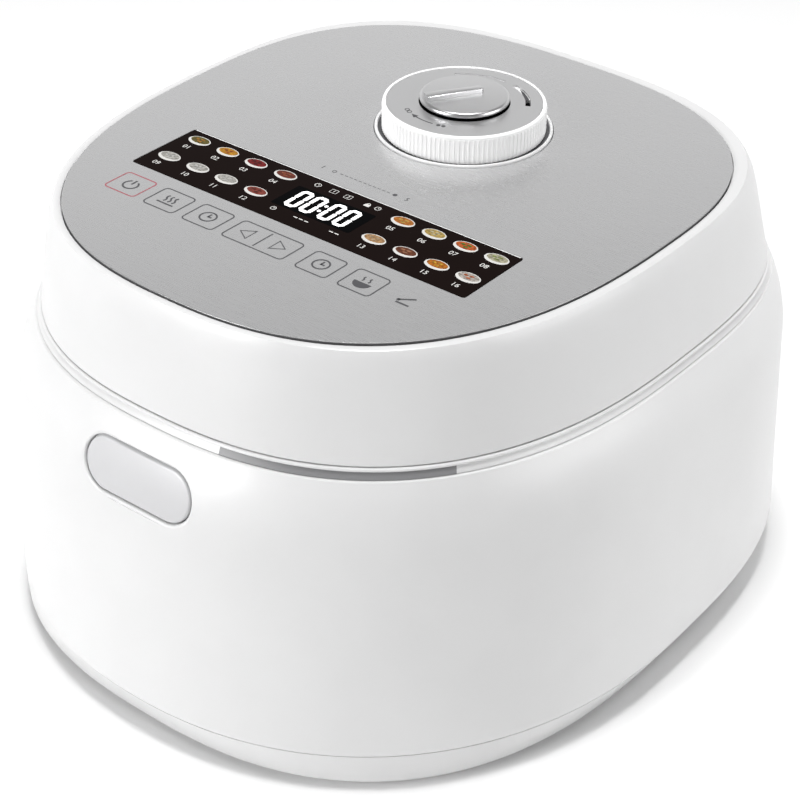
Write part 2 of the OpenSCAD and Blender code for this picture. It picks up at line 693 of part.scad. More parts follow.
// Under-cover of the lid, with the hinge arms and the pocket for the inner lid
steam_hole_r = 5;
module lid_liner() {
    rim = inset(lid_plan(liner_top), wall + seat_gap);
    color(pale_grey) difference() {
        union() {
            slab(rim, lid_low + 0.5, liner_top);
            for (side = [-1, 1]) translate([side * arm_x - arm_w / 2, 0, 0]) hinge_arm();
            for (p = lid_screw_places) translate([p[0], p[1], liner_top - 0.5])
                cylinder(r = boss_r, h = frame_z - liner_top - 1.5 + 0.5);
        }
        at_pot() disc(flange_r + 3.5, 0, liner_seat);
        at_cap() disc(steam_hole_r, 0, liner_top + 1);
        translate([float_x, float_y, 0]) cylinder(r = float_r + running_fit, h = liner_top + 1, $fn = 48);
        for (p = lid_screw_places) translate([p[0], p[1], 0]) {
            cylinder(r = screw_r + 0.05, h = frame_z + 5, $fn = 32);
            cylinder(r = head_r + 0.3, h = liner_seat + 0.6, $fn = 32);
        }
        along_x(-80, hinge_back, hinge_z) cylinder(r = pin_r + running_fit, h = 160);
        translate([-striker_w / 2 - 2.5, striker_y - striker_t / 2 - 0.5, lid_low - 2])
            cube([striker_w + 5, 9, 4.5]);
    }
}
lid_screw_x = panel_w / 2 - 12.65;
lid_screw_places = [[-lid_screw_x, -66], [lid_screw_x, -66], [1 - lid_screw_x, 72], [lid_screw_x - 1, 72]];
module hinge_arm() {
    inner_wall = rear_y(inset(lid_plan(liner_top), wall), arm_x + arm_w / 2);
    arm_top = knuckle_r - 0.4;
    rotate([90, 0, 90]) linear_extrude(arm_w) difference() {
        union() {
            translate([hinge_back, hinge_z]) circle(r = knuckle_r);
            polygon([[hinge_back, hinge_z + arm_top], [inner_wall - 1, hinge_z + arm_top],
                [inner_wall - 1, liner_top], [hinge_back - 22, liner_top], [hinge_back - 22, lid_low + 0.5],
                [hinge_back - 16.5, hinge_z + 1], [hinge_back - arm_top, hinge_z - 1]]);
        }
        translate([hinge_back, hinge_z]) circle(r = pin_r + running_fit);
    }
}

// Frame between liner and panel, which carries the control board
module lid_frame() {
    p = inset(lid_plan(frame_z), wall + 1);
    color(dark_grey) difference() {
        union() {
            slab(p, frame_z, frame_z + frame_t);
            for (p = board_posts) translate([p[0], p[1], frame_z + frame_t - 0.1])
                cylinder(r = 3, h = board_z - frame_z - frame_t + 0.1, $fn = 32);
            for (q = lid_screw_places) translate([q[0], q[1], frame_z - 1.2])
                cylinder(r = boss_r + 1, h = 2);
        }
        at_cap() disc(housing_r + seat_gap, frame_z - 5, frame_z + 10);
        for (q = lid_screw_places) translate([q[0], q[1], frame_z - 3])
            cylinder(r = screw_r, h = 9, $fn = 32);
        for (x = [-1, 1], row = [0:4]) translate([x * 62, 30 + row * 16, frame_z - 1]) linear_extrude(5)
            stadium(44, 7);
    }
}
module lid_screws() {
    color(steel) for (p = lid_screw_places) translate([p[0], p[1], liner_seat + 0.6])
        rotate_extrude($fn = 32)
        polygon([[0, -1.6], [head_r * 0.7, -1.9], [head_r, -0.6], [head_r, 0], [screw_r, 0],
            [screw_r, frame_z - liner_seat - 1], [0, frame_z - liner_seat]]);
}
module striker() {
    color(steel) difference() {
        union() {
            translate([-striker_w / 2, striker_y - striker_t / 2, striker_low])
                cube([striker_w, striker_t, lid_low + 2 - striker_low]);
            translate([-striker_w / 2 - 2, striker_y - striker_t / 2, lid_low + 0.6])
                cube([striker_w + 4, 8, 1.8]);
        }
        translate([-4.5, striker_y - 2, nose_z - 0.9]) cube([9, 4, 3.2]);
    }
}

// ======== Panel and display ========

module top_panel() {
    color(silver) difference() {
        slab(panel_plan, ledge_z, panel_z);
        at_cap() disc(bezel_r + seat_gap - 1.6, ledge_z - 1, panel_z + 1);
        at_cap() disc(bezel_r + seat_gap, panel_z - 1, panel_z + 1);
        translate([0, -window_front, ledge_z + 0.4]) linear_extrude(panel_t)
            rounded(window_w + 0.4, window_d + 0.4, 1.7);
        translate([0, -window_front, ledge_z - 1]) linear_extrude(3) rounded(lcd_w, lcd_d, 1);
    }
}
lcd_w = 46;
lcd_d = 17;
board_front = (window_front + keys_front) / 2 - 3;
board_w = 184;
board_d = 66;
board_posts = [for (x = [-1, 1], y = [-1, 1]) [x * (board_w / 2 - 8),
    -board_front + y * (board_d / 2 - 5)]];
module display_window() {
    color(near_black) translate([0, -window_front, ledge_z + 0.4]) linear_extrude(panel_t - 0.3)
        rounded(window_w, window_d, 1.5);
}
module lcd_module() {
    color([0.1, 0.1, 0.12])
        translate([-lcd_w / 2 + 0.3, -window_front - lcd_d / 2 + 0.3, board_z + board_t])
        cube([lcd_w - 0.6, lcd_d - 0.6, ledge_z + 0.3 - board_z - board_t]);
}
module control_board() {
    color(board_green) difference() {
        translate([-board_w / 2, -board_front - board_d / 2, board_z]) cube([board_w, board_d, board_t]);
        for (p = board_posts) translate([p[0], p[1], board_z - 1]) cylinder(r = 1.2, h = 4, $fn = 32);
    }
}
key_places = [-68, -50, -29, -8, 8, 28.5, 49, 69.4];
module touch_springs() {
    color(copper) for (x = key_places) translate([x, -keys_front, board_z + board_t]) {
        tube(4.2, 3.2, 0, 3.6);
        cylinder(r = 4.8, h = 0.5);
        translate([0, 0, 3.4]) cylinder(r = 4.8, h = ledge_z - board_z - board_t - 3.4 - 0.1);
    }
}

// ======== Steam valve ========

module cap_bezel() {
    bead = bezel_r - 1.3;
    color(white) at_cap() rotate_extrude() polygon([
        [ring_d / 2 - 1.4, ledge_z + 0.3], [bezel_r - 1.7, ledge_z + 0.3], [bezel_r - 1.7, panel_z - 0.9],
        [bezel_r, panel_z - 0.9], [bezel_r, panel_z + 0.4], [bezel_r - 0.3, panel_z + 0.9],
            [bezel_r - 0.8, panel_z + 1],
        [bead, panel_z + 0.7], [bead, panel_z - 0.4], [ring_d / 2 - 1.4, panel_z - 0.4]]);
}
module valve_housing() {
    color(pale_grey) at_cap() difference() {
        union() {
            disc(housing_r, liner_top, ledge_z + 0.3);
            disc(ring_d / 2 + 1, ledge_z - 1.6, ledge_z + 0.3 - 0.01);
        }
        disc(housing_r - 2.2, liner_top + 2.4, ledge_z + 1);
        disc(seat_r, liner_top - 1, liner_top + 3);
        along_x(0, 0, ball_z) cylinder(r = plunger_r + running_fit, h = housing_r + 5, $fn = 48);
    }
}
seat_r = 8;
module valve_seat() {
    color(steel) at_cap() rotate_extrude() polygon([
        [1.6, liner_seat + 1.4], [steam_hole_r, liner_seat + 1.4], [steam_hole_r, liner_top],
            [seat_r, liner_top],
        [seat_r, liner_top + 5], [4, seat_z], [3.2, seat_z], [1.6, seat_z - 3]]);
}
ball_z = seat_z + 3.3;
module valve_ball() {
    color(steel) at_cap() translate([0, 0, ball_z]) sphere(r = ball_r);
}
plunger_r = 2.5;
plunger_gap = 4;
solenoid_x = housing_r + 4;
module solenoid() {
    color(copper) translate([0, cap_back, ball_z]) difference() {
        translate([solenoid_x, -11, -6]) cube([30, 22, 12]);
        along_x(solenoid_x - 1, 0, 0) cylinder(r = plunger_r + running_fit, h = 26, $fn = 48);
    }
    color(steel) translate([solenoid_x, cap_back - 11, liner_top]) cube([30, 22, ball_z - 6 - liner_top]);
}
module plunger() {
    color(steel) along_x(ball_r + plunger_gap, cap_back, ball_z)
        cylinder(r = plunger_r, h = solenoid_x + 16 - ball_r, $fn = 48);
}
float_x = -34;
float_y = 34;
float_r = 3;
module float_valve() {
    color(steel) translate([float_x, float_y, 0]) rotate_extrude($fn = 48) polygon([
        [0, inner_lid_z - 1.5], [2.2, inner_lid_z - 1.5], [float_r, inner_lid_z - 0.8],
            [float_r, liner_top + 2],
        [float_r + 1.8, liner_top + 2], [float_r + 1.8, liner_top + 3.4], [0, liner_top + 3.4]]);
}
inner_lid_z = deck_z + 3.6;
inner_lid_t = 1;
inner_lid_r = flange_r - 1.6;
module lid_sensor() {
    color(steel) translate([30, -40, 0]) disc(6, inner_lid_z + inner_lid_t + 0.2, liner_seat);
}
module inner_lid() {
    dish_r = inner_lid_r - 14;
    color(silver) at_pot() difference() {
        rotate_extrude($fn = 128) polygon([
            [0, inner_lid_z - 1.6], [dish_r, inner_lid_z - 1.6], [dish_r + 4, inner_lid_z],
                [inner_lid_r, inner_lid_z],
            [inner_lid_r, inner_lid_z + inner_lid_t], [dish_r + 4, inner_lid_z + inner_lid_t],
            [dish_r, inner_lid_z + inner_lid_t - 1.6], [0, inner_lid_z + inner_lid_t - 1.6]]);
        translate([float_x, float_y + pot_front, 0]) cylinder(r = float_r + 0.6, h = 200, $fn = 48);
        for (a = [0:45:315]) translate([16 * cos(a), cap_back + pot_front + 16 * sin(a), 0])
            cylinder(r = 1.5, h = 200, $fn = 24);
        translate([0, cap_back + pot_front, 0]) cylinder(r = 4, h = 200, $fn = 48);
    }
}
// Silicone seal that grips the inner lid's edge and presses on the pot's flange
module lid_gasket() {
    low = rest_z + 1.8 + 0.1;
    color(pale_grey) at_pot() rotate_extrude($fn = 128) polygon([
        [inner_lid_r - 5, inner_lid_z - 0.05], [inner_lid_r - 4, low], [inner_lid_r + 1, low],
        [inner_lid_r + 2.4, inner_lid_z - 0.6], [inner_lid_r + 2.4, liner_seat - 0.05],
            [inner_lid_r - 4, liner_seat - 0.05],
        [inner_lid_r - 4, inner_lid_z + inner_lid_t + 0.05],
            [inner_lid_r + 0.05, inner_lid_z + inner_lid_t + 0.05],
        [inner_lid_r + 0.05, inner_lid_z - 0.05]]);
}

// ======== Steam cap ========

// Ribbed ring that turns to release the cap for cleaning; its skirt sits in the valve housing
vent_r = (cap_in + disc_d / 2) / 2 + 0.6;
vent_w = 2.2;
vent_turns = [30, 74];
groove_w = 1;
groove_turns = [86, 136];
skirt_h = 12;
module vent(turns, w, low, high) {
    translate([0, 0, low]) rotate(turns[0]) rotate_extrude(angle = turns[1] - turns[0])
        translate([vent_r - w / 2, 0]) square([w, high - low]);
}
module steam_ring() {
    rib = 0.5;
    rib_top = ring_top - 2;
    core_r = ring_d / 2 - rib - 0.2;
    skirt_r = housing_r - 2.2 - seat_gap;
    color(white) at_cap() difference() {
        union() {
            translate([0, 0, ring_low]) linear_extrude(rib_top - ring_low)
                polygon([for (i = [0:ring_ribs * 2 - 1])
                let(r = ring_d / 2 - (i % 2 == 0 ? 0 : rib), t = 180 * i / ring_ribs)
                    [r * cos(t), r * sin(t)]]);
            rotate_extrude() polygon([[0, rib_top - 1], [core_r, rib_top - 1], [core_r, ring_top - 0.8],
                [core_r - 0.3, ring_top - 0.2], [core_r - 0.8, ring_top], [0, ring_top]]);
            disc(hub_r, hub_low, ring_low + 1);
            disc(skirt_r, ring_low - skirt_h, ring_low + 1);
        }
        disc(cap_in, face_z, ring_top + 1);
        difference() {
            disc(cap_in, ring_low - 0.1, face_z - 2.4);
            disc(skirt_r, ring_low - 2, face_z);
        }
        difference() {
            disc(skirt_r - 1.8, ring_low - skirt_h - 1, face_z - 2.4);
            disc(hub_r, ring_low - 30, face_z);
        }
        disc(spindle_r + running_fit, ring_low - 30, ring_top);
        vent(vent_turns, vent_w, face_z - 4, face_z + 1);
        vent(groove_turns, groove_w, face_z - 0.8, face_z + 1);
    }
}
// Silver face of the ring, with the steam vent and a finer groove behind it
module ring_face() {
    color(silver) at_cap() difference() {
        tube(cap_in - 0.15, disc_d / 2 - 2, face_z, face_z + face_t);
        vent(vent_turns, vent_w, face_z - 1, face_z + 2);
        vent(groove_turns, groove_w, face_z - 1, face_z + 2);
    }
}
// Disc with a pointer-shaped finger bar; its spindle turns in the ring's hub
neck_h = 0.8;
neck_in = 3;
edge_round = 1.1;
bar_wide = 5.2;
bar_tip = 3;
module turn_disc() {
    r = disc_d / 2;
    under = disc_low + neck_h;
    top = disc_low + disc_h;
    color(silver) at_cap() {
        rotate_extrude() polygon(concat(
            [[0, disc_low], [r - neck_in, disc_low], [r - neck_in, under], [r - edge_round, under]],
            [for (a = [-60:30:90]) [r - edge_round + edge_round * cos(a),
                (a < 0 ? under + edge_round : top - edge_round) + edge_round * sin(a)]],
            [[0, top]]));
        translate([0, 0, top - 0.1]) linear_extrude(bar_h + 0.1) rotate(bar_angle) polygon([
            [-r + 1.2, -bar_wide / 2], [7, -bar_tip / 2], [7.6, -0.8], [7.6, 0.8], [7, bar_tip / 2],
            [-r + 1.2, bar_wide / 2]]);
        disc(spindle_r, hub_low - 1, disc_low + 0.5);
        disc(hub_r - 1, hub_low - 2.6, hub_low - seat_gap);
    }
}

outer_shell();
rim_ring();
rim_insert();
base_cover();
feet();
base_screws();
inner_pot();
pot_liner();
induction_coil();
ferrite_bars();
coil_tray();
keep_warm_belt();
thermal_sensor();
sensor_spring();
power_board();
board_parts();
heat_sink();
fan_frame();
fan_rotor();
inlet_housing();
inlet_pins();
hinge_bracket();
hinge_pin();
hinge_spring();
release_button();
button_springs();
button_guide();
latch_lever();
latch_pin();
lid_shell();
lid_liner();
lid_frame();
lid_screws();
striker();
top_panel();
display_window();
lcd_module();
control_board();
touch_springs();
cap_bezel();
valve_housing();
valve_seat();
valve_ball();
solenoid();
plunger();
float_valve();
lid_sensor();
inner_lid();
lid_gasket();
steam_ring();
ring_face();
turn_disc();
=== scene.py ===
# %% [markdown]
# # A rice cooker, dressed piece by piece
# The construction model gives every part at its real size, as a fixed frame of nodes. This
# lesson puts the looks on it: smooth skins for the two white mouldings, a brushed silver top
# with a printed display, a ribbed steam cap, and a finish for everything inside.
# Sizes are written in millimetres, as a moulder's drawing has them, and become metres only
# where a mesh is made.

# %% Load the frame
import json
import math

import bmesh
import bpy
import numpy as np
from mathutils import Matrix, Vector

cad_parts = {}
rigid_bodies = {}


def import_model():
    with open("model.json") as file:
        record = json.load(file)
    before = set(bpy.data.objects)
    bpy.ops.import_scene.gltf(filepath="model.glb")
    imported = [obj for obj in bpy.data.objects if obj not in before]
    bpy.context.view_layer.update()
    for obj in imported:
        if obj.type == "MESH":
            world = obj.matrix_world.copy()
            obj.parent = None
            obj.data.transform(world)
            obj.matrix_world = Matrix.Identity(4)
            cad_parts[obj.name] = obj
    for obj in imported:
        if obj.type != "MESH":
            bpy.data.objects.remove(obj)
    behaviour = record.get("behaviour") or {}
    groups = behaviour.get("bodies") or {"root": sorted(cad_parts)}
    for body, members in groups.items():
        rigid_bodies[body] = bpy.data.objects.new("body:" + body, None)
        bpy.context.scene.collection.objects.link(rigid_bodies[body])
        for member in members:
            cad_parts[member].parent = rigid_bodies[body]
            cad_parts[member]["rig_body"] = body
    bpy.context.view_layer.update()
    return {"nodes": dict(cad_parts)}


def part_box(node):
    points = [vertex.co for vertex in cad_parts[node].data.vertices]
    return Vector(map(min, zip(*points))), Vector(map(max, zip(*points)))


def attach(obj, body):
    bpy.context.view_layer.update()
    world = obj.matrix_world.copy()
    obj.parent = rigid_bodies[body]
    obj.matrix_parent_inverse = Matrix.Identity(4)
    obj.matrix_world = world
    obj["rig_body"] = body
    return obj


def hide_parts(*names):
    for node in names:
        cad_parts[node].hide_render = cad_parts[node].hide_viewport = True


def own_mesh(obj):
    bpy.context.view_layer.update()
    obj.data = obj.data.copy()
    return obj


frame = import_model()
nodes = frame["nodes"]
MM = 0.001


# %% [markdown]
# ## The camera
# A long lens looks down on the left front. It could be placed by pointing an empty at the
# object, but a turn, a rise, a small roll and a distance say the same and can be read.

# %% Place the camera
VIEW_TURN, VIEW_RISE, VIEW_ROLL = (math.radians(a) for a in (37.8, 33.7, 1.05))
LOOK_AT = Vector((108.04, -134.72, 189.0)) * MM
VIEW_DISTANCE = 723.1 * MM
backwards = Vector((math.sin(VIEW_TURN) * math.cos(VIEW_RISE),
                    -math.cos(VIEW_TURN) * math.cos(VIEW_RISE), math.sin(VIEW_RISE)))
level_right = Vector((math.cos(VIEW_TURN), math.sin(VIEW_TURN), 0))
level_up = backwards.cross(level_right)
right = level_right * math.cos(VIEW_ROLL) + level_up * math.sin(VIEW_ROLL)
up = level_up * math.cos(VIEW_ROLL) - level_right * math.sin(VIEW_ROLL)

lens = bpy.data.cameras.new("camera")
lens.sensor_width = 36
lens.lens = 95.87
lens.clip_start = 0.05
camera = bpy.data.objects.new("camera", lens)
camera.matrix_world = Matrix.Translation(LOOK_AT + backwards * VIEW_DISTANCE) @ Matrix(
    (right, up, backwards)).transposed().to_4x4()
bpy.context.scene.collection.objects.link(camera)
bpy.context.scene.camera = camera
print("camera at", [round(v, 3) for v in camera.location])

# %% [markdown]
# ## The outline rule
# Seen from above, every level of the cooker is a rounded oblong: a superellipse whose front
# and rear have their own reach and their own squareness. Three such plans are known, at the
# top panel, at the lid seam and at the base, and every level between is a blend of two.
# It could be drawn as curves and lofted by hand, but a rule keeps lid and body in step.

# %% Plans of the cooker at any height
SEAM_Z, BASE_Z, PANEL_Z = 142.7, 17.0, 189.0
PANEL_PLAN = np.array([119.65, 152.66, 112.84, 16.7, 2.52, 2.68])
SEAM_PLAN = np.array([132.3, 158.65, 135.15, 12.5, 2.45, 3.1])
BASE_PLAN = np.array([150.0, 164.84, 168.17, -1.7, 2.18, 2.88])
WALL = 2.6
PANEL_EDGE = 3.4
FLARE = 0.0645
SHOULDER_LOW, SHOULDER_BEND = SEAM_Z - 34.7, 2.2
LEAN_SHARE, LID_BEND = 0.78, 12
SHOULDER_IN = BASE_PLAN[0] - FLARE * (SEAM_Z - BASE_Z) - SEAM_PLAN[0]


def body_half(z):
    rise = max(0.0, (z - SHOULDER_LOW) / (SEAM_Z - SHOULDER_LOW))
    return BASE_PLAN[0] - FLARE * (z - BASE_Z) - SHOULDER_IN * rise ** SHOULDER_BEND


def blended(half, small, large):
    share = (half - small[0]) / (large[0] - small[0])
    return small + (large - small) * share


def body_plan(z):
    return blended(body_half(z), SEAM_PLAN, BASE_PLAN)


def lid_plan(z):
    rise = (z - SEAM_Z) / (PANEL_Z - SEAM_Z)
    half = SEAM_PLAN[0] - (SEAM_PLAN[0] - PANEL_PLAN[0] - PANEL_EDGE) * (
        LEAN_SHARE * rise + (1 - LEAN_SHARE) * max(0.0, rise) ** LID_BEND)
    return blended(half, PANEL_PLAN, SEAM_PLAN)


def inset(plan, by):
    return plan - np.array([by, by, by, 0, 0, 0])


PLAN_STEPS = 320


def full_turn(steps):
    return np.arange(steps) * 2 * math.pi / steps


def outline(plan, turn=full_turn(PLAN_STEPS)):
    front = np.sin(turn) < 0
    reach = np.where(front, plan[1], plan[2])
    power = np.where(front, plan[4], plan[5])
    r = ((np.abs(np.cos(turn)) / plan[0]) ** power
         + (np.abs(np.sin(turn)) / reach) ** power) ** (-1 / power)
    return np.column_stack([r * np.cos(turn), plan[3] + r * np.sin(turn)])


def lifted(flat, z):
    return np.column_stack([flat, np.full(len(flat), z)])


def ring_at(plan, z):
    return lifted(outline(plan), z)


def front_y(plan, x):
    return plan[3] - plan[1] * (1 - (abs(x) / plan[0]) ** plan[4]) ** (1 / plan[4])


print("half widths at 20, 120 and 140 mm:", [round(body_half(z), 1) for z in (20, 120, 140)])

# %% [markdown]
# ## Making meshes
# Four small makers do most of the work. One joins a stack of rings to a closed skin, one turns
# a profile round an axis, one cuts a flat plate from outlines, as a sheet or a print, and one
# makes a clean copy of a construction node. Its corners are merged, and its shading follows the
# large faces more than the small ones, so that a flat stays flat up to its rounded edge.
# Every piece rides the body of a construction node.

# %% Makers for skins, turned pieces, plates and copies
ROUND_ANGLE, SHELL_ANGLE, DECK_ANGLE, SHEET_ANGLE = 32, 28, 14, 12
DRAWN_WELD, COPY_WELD = 0.002, 0.01


def placed(name, data):
    thing = bpy.data.objects.new(name, data)
    bpy.context.scene.collection.objects.link(thing)
    return thing


def baked(thing):
    seen = thing.evaluated_get(bpy.context.evaluated_depsgraph_get())
    return bpy.data.meshes.new_from_object(seen)


def put(name, mesh, paint, slot, angle=ROUND_ANGLE):
    piece = placed(name, mesh)
    mesh.materials.clear()
    mesh.materials.append(paint)
    mesh.shade_smooth()
    mesh.set_sharp_from_angle(angle=math.radians(angle))
    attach(piece, nodes[slot]["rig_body"])
    return piece


def welded(mesh, reach, finish):
    work = bmesh.new()
    work.from_mesh(mesh)
    bmesh.ops.remove_doubles(work, verts=work.verts, dist=reach * MM)
    finish(work)
    work.to_mesh(mesh)
    work.free()
    return mesh


def outwards(mesh):
    return welded(mesh, DRAWN_WELD, lambda work: bmesh.ops.recalc_face_normals(
        work, faces=work.faces))


def clean_mesh(node):
    return welded(nodes[node].data.copy(), COPY_WELD, lambda work: bmesh.ops.dissolve_degenerate(
        work, edges=work.edges, dist=0.001 * MM))


def skin(name, rings, closed=True):
    count, steps = len(rings), len(rings[0])
    points = np.vstack(rings) * MM
    faces = []
    for level in range(count if closed else count - 1):
        low, high = level * steps, (level + 1) % count * steps
        for i in range(steps):
            j = (i + 1) % steps
            faces.append((low + i, low + j, high + j, high + i))
    if not closed:
        faces.append(tuple(range(steps - 1, -1, -1)))
        faces.append(tuple(range((count - 1) * steps, count * steps)))
    mesh = bpy.data.meshes.new(name)
    mesh.from_pydata(points.tolist(), [], faces)
    return outwards(mesh)


def circle(radius, at=(0.0, 0.0), steps=160):
    turn = full_turn(steps)
    return np.column_stack([at[0] + radius * np.cos(turn), at[1] + radius * np.sin(turn)])


def turned(name, profile, centre, steps=192):
    return skin(name, [lifted(circle(r, centre, steps), z) for r, z in profile])


def plate(name, loops, low, high, bevel=0.0):
    curve = bpy.data.curves.new(name, "CURVE")
    curve.dimensions = "2D"
    curve.fill_mode = "BOTH"
    curve.extrude = (high - low) / 2 - bevel
    curve.bevel_depth = bevel
    curve.bevel_resolution = 2
    curve.offset = -bevel
    for loop in loops:
        spline = curve.splines.new("POLY")
        spline.points.add(len(loop) - 1)
        flat = np.column_stack([np.array(loop, float), np.zeros(len(loop)), np.ones(len(loop))])
        spline.points.foreach_set("co", flat.ravel())
        spline.use_cyclic_u = True
    return flattened(name, curve, (low + high) / 2)


def flattened(name, curve, z, at=(0, 0)):
    blank = placed(name, curve)
    mesh = baked(blank)
    bpy.data.objects.remove(blank)
    mesh.transform(Matrix.Scale(MM, 4) @ Matrix.Translation((at[0], at[1], z)))
    return outwards(mesh)


def joined(name, meshes):
    work = bmesh.new()
    for mesh in meshes:
        work.from_mesh(mesh)
    whole = bpy.data.meshes.new(name)
    work.to_mesh(whole)
    work.free()
    return whole


def stand_in(name, mesh, paint, node, angle=ROUND_ANGLE):
    piece = put(name, mesh, paint, node, angle)
    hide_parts(node)
    return piece


def level_flats(piece):
    tool = piece.modifiers.new("level", "WEIGHTED_NORMAL")
    tool.keep_sharp, tool.weight = True, 100
    piece.data = baked(piece)
    piece.modifiers.clear()


def clean_copy(node, paint, angle=ROUND_ANGLE, extra=()):
    mesh = joined(node, [clean_mesh(node), *extra]) if extra else clean_mesh(node)
    piece = stand_in(node + "_skin", mesh, paint, node, angle)
    level_flats(piece)
    return piece


print("makers ready")

# %% [markdown]
# ## Shader sums
# Procedural finishes are mostly arithmetic. A small class wraps a socket, so that a sum is
# written as it would be on paper. A second one adds any other node to a tree, and a third,
# built on it, is a material.

# %% Classes for sums on sockets, node trees and materials
def both_ways(operation):
    def forward(self, other):
        return self.sheet.maths(operation, self, other)

    def backward(self, other):
        return self.sheet.maths(operation, other, self)

    return forward, backward


class Sum:
    def __init__(self, sheet, socket):
        self.sheet, self.socket = sheet, socket

    __add__, __radd__ = both_ways("ADD")
    __sub__, __rsub__ = both_ways("SUBTRACT")
    __mul__, __rmul__ = both_ways("MULTIPLY")


class Sheet:
    """A node tree, and the methods that add nodes to it."""

    def __init__(self, tree):
        self.tree = tree

    def node(self, kind, output=0, settings=None, **inputs):
        made = self.tree.nodes.new(kind)
        for key, value in (settings or {}).items():
            setattr(made, key, value)
        for key, value in inputs.items():
            spot = made.inputs[int(key[1:])] if key[0] == "i" and key[1:].isdigit() \
                else made.inputs[key.replace("_", " ")]
            self.feed(spot, value)
        return Sum(self, made.outputs[output])

    def feed(self, spot, value):
        if isinstance(value, Sum):
            self.tree.links.new(value.socket, spot)
        else:
            spot.default_value = value

    def maths(self, operation, first, second=0.0):
        return self.node("ShaderNodeMath", 0, {"operation": operation}, i0=first, i1=second)

    def ramp(self, value, low, high, start=0.0, end=1.0):
        return self.node("ShaderNodeMapRange", 0, {"interpolation_type": "SMOOTHSTEP"},
                         i0=value, i1=low, i2=high, i3=start, i4=end)

    def blend(self, factor, first, second):
        return self.node("ShaderNodeMix", 2, {"data_type": "RGBA"}, i0=factor, i6=first,
                         i7=second)


class Coat(Sheet):
    """A material: its Principled shader, and what varies its colour, gloss and relief."""

    def __init__(self, name, colour, roughness, **constants):
        self.material = bpy.data.materials.new(name)
        self.material.use_nodes = True
        super().__init__(self.material.node_tree)
        self.shader = self.tree.nodes["Principled BSDF"]
        self.material.diffuse_color = (*colour[:3], 1)
        self.shader.inputs["Base Color"].default_value = (*colour[:3], 1)
        self.shader.inputs["Roughness"].default_value = roughness
        for key, value in constants.items():
            self.shader.inputs[key.replace("_", " ")].default_value = value

    def place(self, stretch=(1, 1, 1)):
        where = self.node("ShaderNodeTexCoord", "Object")
        return self.node("ShaderNodeMapping", 0, None, Vector=where, Scale=stretch)

    def noise(self, size, stretch=(1, 1, 1), detail=3.0):
        return self.node("ShaderNodeTexNoise", 0, None, Vector=self.place(stretch),
                         Scale=1 / (size * MM), Detail=detail)

    def varied(self, colour, roughness, height=None, depth=0.0):
        self.feed(self.shader.inputs["Base Color"], colour)
        self.feed(self.shader.inputs["Roughness"], roughness)
        if height:
            relief = self.node("ShaderNodeBump", 0, None, Height=height, Distance=depth * MM,
                               Strength=1.0)
            self.feed(self.shader.inputs["Normal"], relief)
        return self.material


def shaded(colour, by):
    return tuple(min(1.0, c * by) for c in colour[:3]) + (1,)


print("shader sums ready")

# %% [markdown]
# ## Finishes
# The white mouldings are glossy ABS: almost pure white, with the faint waviness of a polished
# mould and a touch of uneven gloss where hands have been. A clear coat could give the gloss,
# but moulded gloss is the plastic itself, so only the roughness says it.

# %% Moulded plastics and rubber
def moulded(name, colour, roughness, grain, relief, **constants):
    coat = Coat(name, colour, roughness, **constants)
    slow = coat.noise(38, detail=2.0)
    fine = coat.noise(grain, detail=2.0)
    mixed = coat.blend(coat.ramp(slow, 0.3, 0.7), shaded(colour, 0.985), shaded(colour, 1.01))
    return coat.varied(mixed, roughness + (slow - 0.5) * 0.05 + (fine - 0.5) * 0.06, fine, relief)


gloss_white = moulded("gloss white plastic", (0.632, 0.632, 0.634), 0.30, 0.5, 0.002)
satin_white = moulded("satin white plastic", (0.72, 0.72, 0.722), 0.38, 0.3, 0.004)
# Near-black for the silver sheet's edge: painted shade, the shadow line between panel and lid.
panel_edge_shade = moulded("painted shade at panel edge", (0.07, 0.07, 0.072), 0.45, 0.3, 0.002)
cap_white = moulded("steam cap white plastic", (0.93, 0.93, 0.93), 0.34, 0.3, 0.003)
pale_button = moulded("pale grey button plastic", (0.50, 0.50, 0.51), 0.32, 0.3, 0.003)
inlay_grey = moulded("grey inlay plastic", (0.20, 0.20, 0.205), 0.4, 0.25, 0.004)
inner_white = moulded("lid lining plastic", (0.66, 0.66, 0.66), 0.45, 0.3, 0.006)
frame_grey = moulded("frame plastic", (0.07, 0.07, 0.075), 0.5, 0.4, 0.01)
black_plastic = moulded("black plastic", (0.012, 0.012, 0.012), 0.42, 0.3, 0.008)
rubber_grey = moulded("grey rubber", (0.07, 0.07, 0.072), 0.75, 0.35, 0.02)
silicone = moulded("translucent silicone", (0.62, 0.61, 0.58), 0.48, 0.4, 0.006,
                   Subsurface_Weight=0.15)
bowl_plastic = moulded("heat proof bowl", (0.48, 0.47, 0.45), 0.6, 0.3, 0.012)
print("plastics:", sum(m.name.endswith("plastic") for m in bpy.data.materials))

# %% [markdown]
# Metals differ by how they were worked. Brushing leaves long hair lines one way, turning
# leaves rings, drawing a wire leaves almost nothing. A stretched noise gives hair lines, and
# the same noise drives both the roughness and a very shallow relief.

# %% Brushed, turned and drawn metals
def metal(name, colour, roughness, stretch=(1, 1, 1), hair=0.12, relief=0.002, weight=1.0,
          tone=0.07):
    coat = Coat(name, colour, roughness, Metallic=weight)
    lines = coat.noise(hair, stretch, 4.0)
    cloud = coat.noise(24, detail=2.0)
    mixed = coat.blend(coat.ramp(lines, 0.25, 0.75), shaded(colour, 1 - tone),
                       shaded(colour, 1 + tone))
    return coat.varied(mixed, roughness + (lines - 0.5) * 0.16 + (cloud - 0.5) * 0.03, lines,
                       relief)


